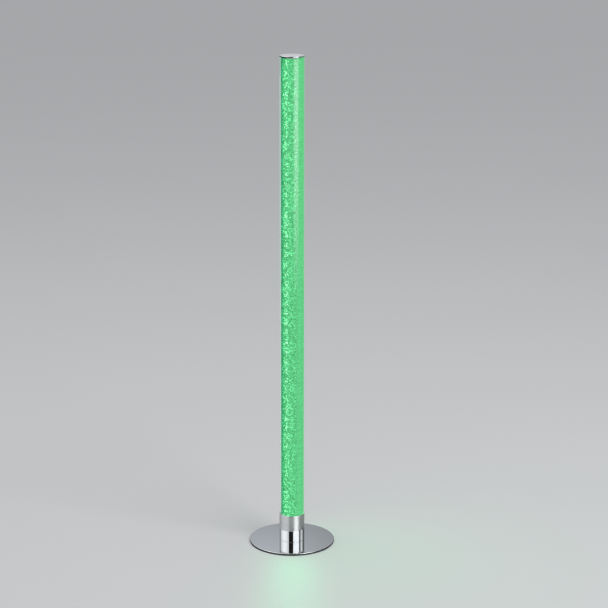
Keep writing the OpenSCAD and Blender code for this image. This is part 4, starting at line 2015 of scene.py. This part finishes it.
@dataclass
class Studio:
    """Pale floor, soft lamps, cards and camera.

    Attributes:
        picture: Side of the picture, in pixels.
        axis_pixel: Where the lamp's axis stands in the picture, in pixels from its left.
        focal_pixels: The camera's focal length, in pixels of the picture.
        camera_height: Height of the camera above the floor.
        camera_distance: Distance of the camera from the lamp's axis.
        camera_dip: Angle by which the camera looks down, in degrees.
        floor_radius: Radius of the floor.
        floor_colour: Colour of the floor.
        floor_cloud: Share of that colour which is left in its darkest clouds.
        sky_colour: Colour of the world.
        sky_level: How bright the world is.
        panels: The upright cards. The stub mirrors a narrow band of heights, so its strips stand far off.
        mats: The flat cards.
        lamps: The lamps, and the two glows that the column throws on the floor.
    """

    # Distance, lower edge and upper edge of panels that stand in a row
    STRIP = (30.0, 11.7, 12.44)
    STRIP_BEHIND = (30.1, 11.7, 12.44)
    WALL = (31.0, 7.7, 60.0)
    WALL_NEARER = (30.9, 7.7, 60.0)
    BESIDE_LAMP = (0.3, 0.0, 1.2)

    FLOOR_SIDES = 96

    picture: float = 608.0
    axis_pixel: float = 291.95
    focal_pixels: float = 1855.0
    camera_height: float = 1.6634
    camera_distance: float = 4.1403
    camera_dip: float = 14.64
    floor_radius: float = 60.0
    floor_colour: Colour = (0.62, 0.62, 0.625)
    floor_cloud: float = 0.985
    sky_colour: Colour = (0.98, 1.0, 1.025)
    sky_level: float = 0.62
    panels: tuple[Panel, ...] = (
        Panel("card band", 4.0, 76.0, 2.5, -0.08, 0.838, level=5.6, rise=0.62, fade=0.42),
        Panel("card cap patch", 9.0, 68.0, 2.5, 0.838, 0.92, level=1.15),
        Panel("card dim right", 76.0, 170.0, 2.6, 0.0, 0.9, level=0.25),
        Panel("card cap rim", -290.0, 9.0, 3.8, 0.60, 0.76, level=0.03),
        Panel("card cap top", 150.0, 210.0, 3.0, 1.3, 2.1, level=0.74),
        Panel(
            "card plate", 176.0, 186.6, 29.0, 9.0, 12.7,
            level=0.97, rise=4.0, fade=0.5, side_level=0.56, colour=(0.955, 1.02, 1.095),
        ),
        Panel("strip left", -116.0, -29.5, *STRIP, level=2.6, fade=0.40, side_level=0.68),
        Panel("strip gap", -29.5, 9.5, *STRIP, level=0.02),
        Panel("strip right", 11.5, 69.5, *STRIP, level=2.95, fade=0.04),
        Panel("strip dim right", 70.5, 170.0, *STRIP_BEHIND, level=0.25),
        Panel("strip fill", 83.0, 120.0, *STRIP, level=1.7, fade=0.2),
        Panel("wall left", -125.0, -29.5, 31.0, 0.3, 60.0, level=1.78, fade=0.30, side_level=0.9),
        Panel("wall left middle", -125.0, -29.5, 30.9, 12.7, 14.4, level=1.15),
        Panel("wall gap", -29.5, 9.5, *WALL, level=0.45),
        Panel("wall right", 9.5, 69.5, *WALL, level=0.6, fade=0.1),
        Panel("wall right side", 69.5, 94.0, *WALL_NEARER, level=0.95),
        Panel("wall dim right", 69.5, 140.0, *WALL, level=0.45),
        Panel("card clear right", 60.0, 178.0, *BESIDE_LAMP, level=0.0, card=Card.CLEAR_WALL),
        Panel("card clear left", 178.0, 226.0, *BESIDE_LAMP, level=0.56, card=Card.CLEAR_WALL),
        Panel("card clear side", 226.0, 300.0, *BESIDE_LAMP, level=0.05, card=Card.CLEAR_WALL),
    )
    mats: tuple[Mat, ...] = (
        # Dark ring round the plate's edge, seen only in reflections: painted shade for the plate's rim to
        # mirror.
        Mat("mat rim", 0.0, 360.0, 0.1003, 0.125, level=0.03),
        Mat("mat floor", -140.0, 165.0, 0.20, 16.0, level=0.14),
        Mat("mat clear right", 60.0, 178.0, 0.101, 0.32, level=0.0, card=Card.CLEAR_WALL),
        Mat("mat clear side", 226.0, 300.0, 0.101, 0.32, level=0.05, card=Card.CLEAR_WALL),
    )
    lamps: tuple[Lamp, ...] = (
        Lamp("lamp key", (2.6, -2.4, 3.4), (0.0, 0.0, 0.5), 2.6, 2.6, level=3.9),
        Lamp("lamp top", (-1.2, 0.6, 4.2), (0.0, 0.0, 0.5), 2.4, 2.4, level=1.5),
        Lamp(
            "column glow", (0.045, -0.03, 0.33), (0.6, -0.38, 0.05), 0.05, 0.5,
            level=8.0, colour=Green.THROWN, mirrored=False,
        ),
        Lamp(
            "front glow", (0.0, -0.16, 0.25), (0.0, -0.30, 0.0), 0.05, 0.3,
            level=0.75, colour=Green.THROWN, mirrored=False, spread=42.0,
        ),
    )

    def build(self) -> None:
        """Builds the set and the camera."""
        scene = bpy.context.scene
        scene.view_settings.view_transform = "Standard"
        scene.world = self._world()
        self._floor()
        for card in (*self.panels, *self.mats):
            card.build()
        for lamp in self.lamps:
            lamp.build()
        scene.camera = self._camera()

    def _world(self) -> bpy.types.World:
        """Makes an even pale world.

        Returns:
            The world.
        """
        world = bpy.data.worlds.new("studio")
        world.use_nodes = True
        paint = Paint(world.node_tree)
        sky = {"Color": self.sky_colour, "Strength": self.sky_level}
        light = paint.node("ShaderNodeBackground", values=sky)
        paint.node("ShaderNodeOutputWorld", values={"Surface": light})
        return world

    def _floor(self) -> None:
        """Makes a plain pale floor under the lamp."""
        made = bmesh.new()
        bmesh.ops.create_circle(made, cap_ends=True, segments=self.FLOOR_SIDES, radius=self.floor_radius)
        thing = Shape.from_bmesh("studio_floor", made)
        thing.data.materials.append(material_of("studio floor", self._floor_surface))

    def _floor_surface(self, paint: Paint) -> Link:
        """Builds the floor's matt shader, with faint clouds.

        Args:
            paint: The material's tree.

        Returns:
            The shader.
        """
        cloud = paint.noise(paint.place(), size=0.6)
        return paint.node("ShaderNodeBsdfPrincipled", values={
            "Base Color": paint.mix(cloud, self.floor_colour, darkened(self.floor_colour, self.floor_cloud)),
            "Roughness": 0.9,
            "Specular IOR Level": 0.0,
        })

    def _camera(self) -> Thing:
        """Places the camera at the photograph's height, distance and angle.

        Returns:
            The camera.
        """
        data = bpy.data.cameras.new("camera")
        data.lens = self.focal_pixels / self.picture * data.sensor_width
        data.shift_x = (self.picture / 2.0 - self.axis_pixel) / self.picture
        data.clip_end = 4.0 * self.floor_radius
        thing = bpy.data.objects.new("camera", data)
        thing.location = (0.0, -self.camera_distance, self.camera_height)
        thing.rotation_euler = (math.radians(90.0 - self.camera_dip), 0.0, 0.0)
        bpy.context.scene.collection.objects.link(thing)
        return thing


def main() -> None:
    """Builds the set and every sub-assembly, and reports each piece."""
    logging.basicConfig(level=logging.INFO, format="%(name)s: %(message)s")
    Studio().build()
    for assembly in (Foot(), Collar(), Inside(), Column(), Cap()):
        for piece in assembly.build():
            LOG.info("%s: %s, %d faces", type(assembly).__name__, piece.name, len(piece.data.polygons))


if __name__ == "__main__":
    main()
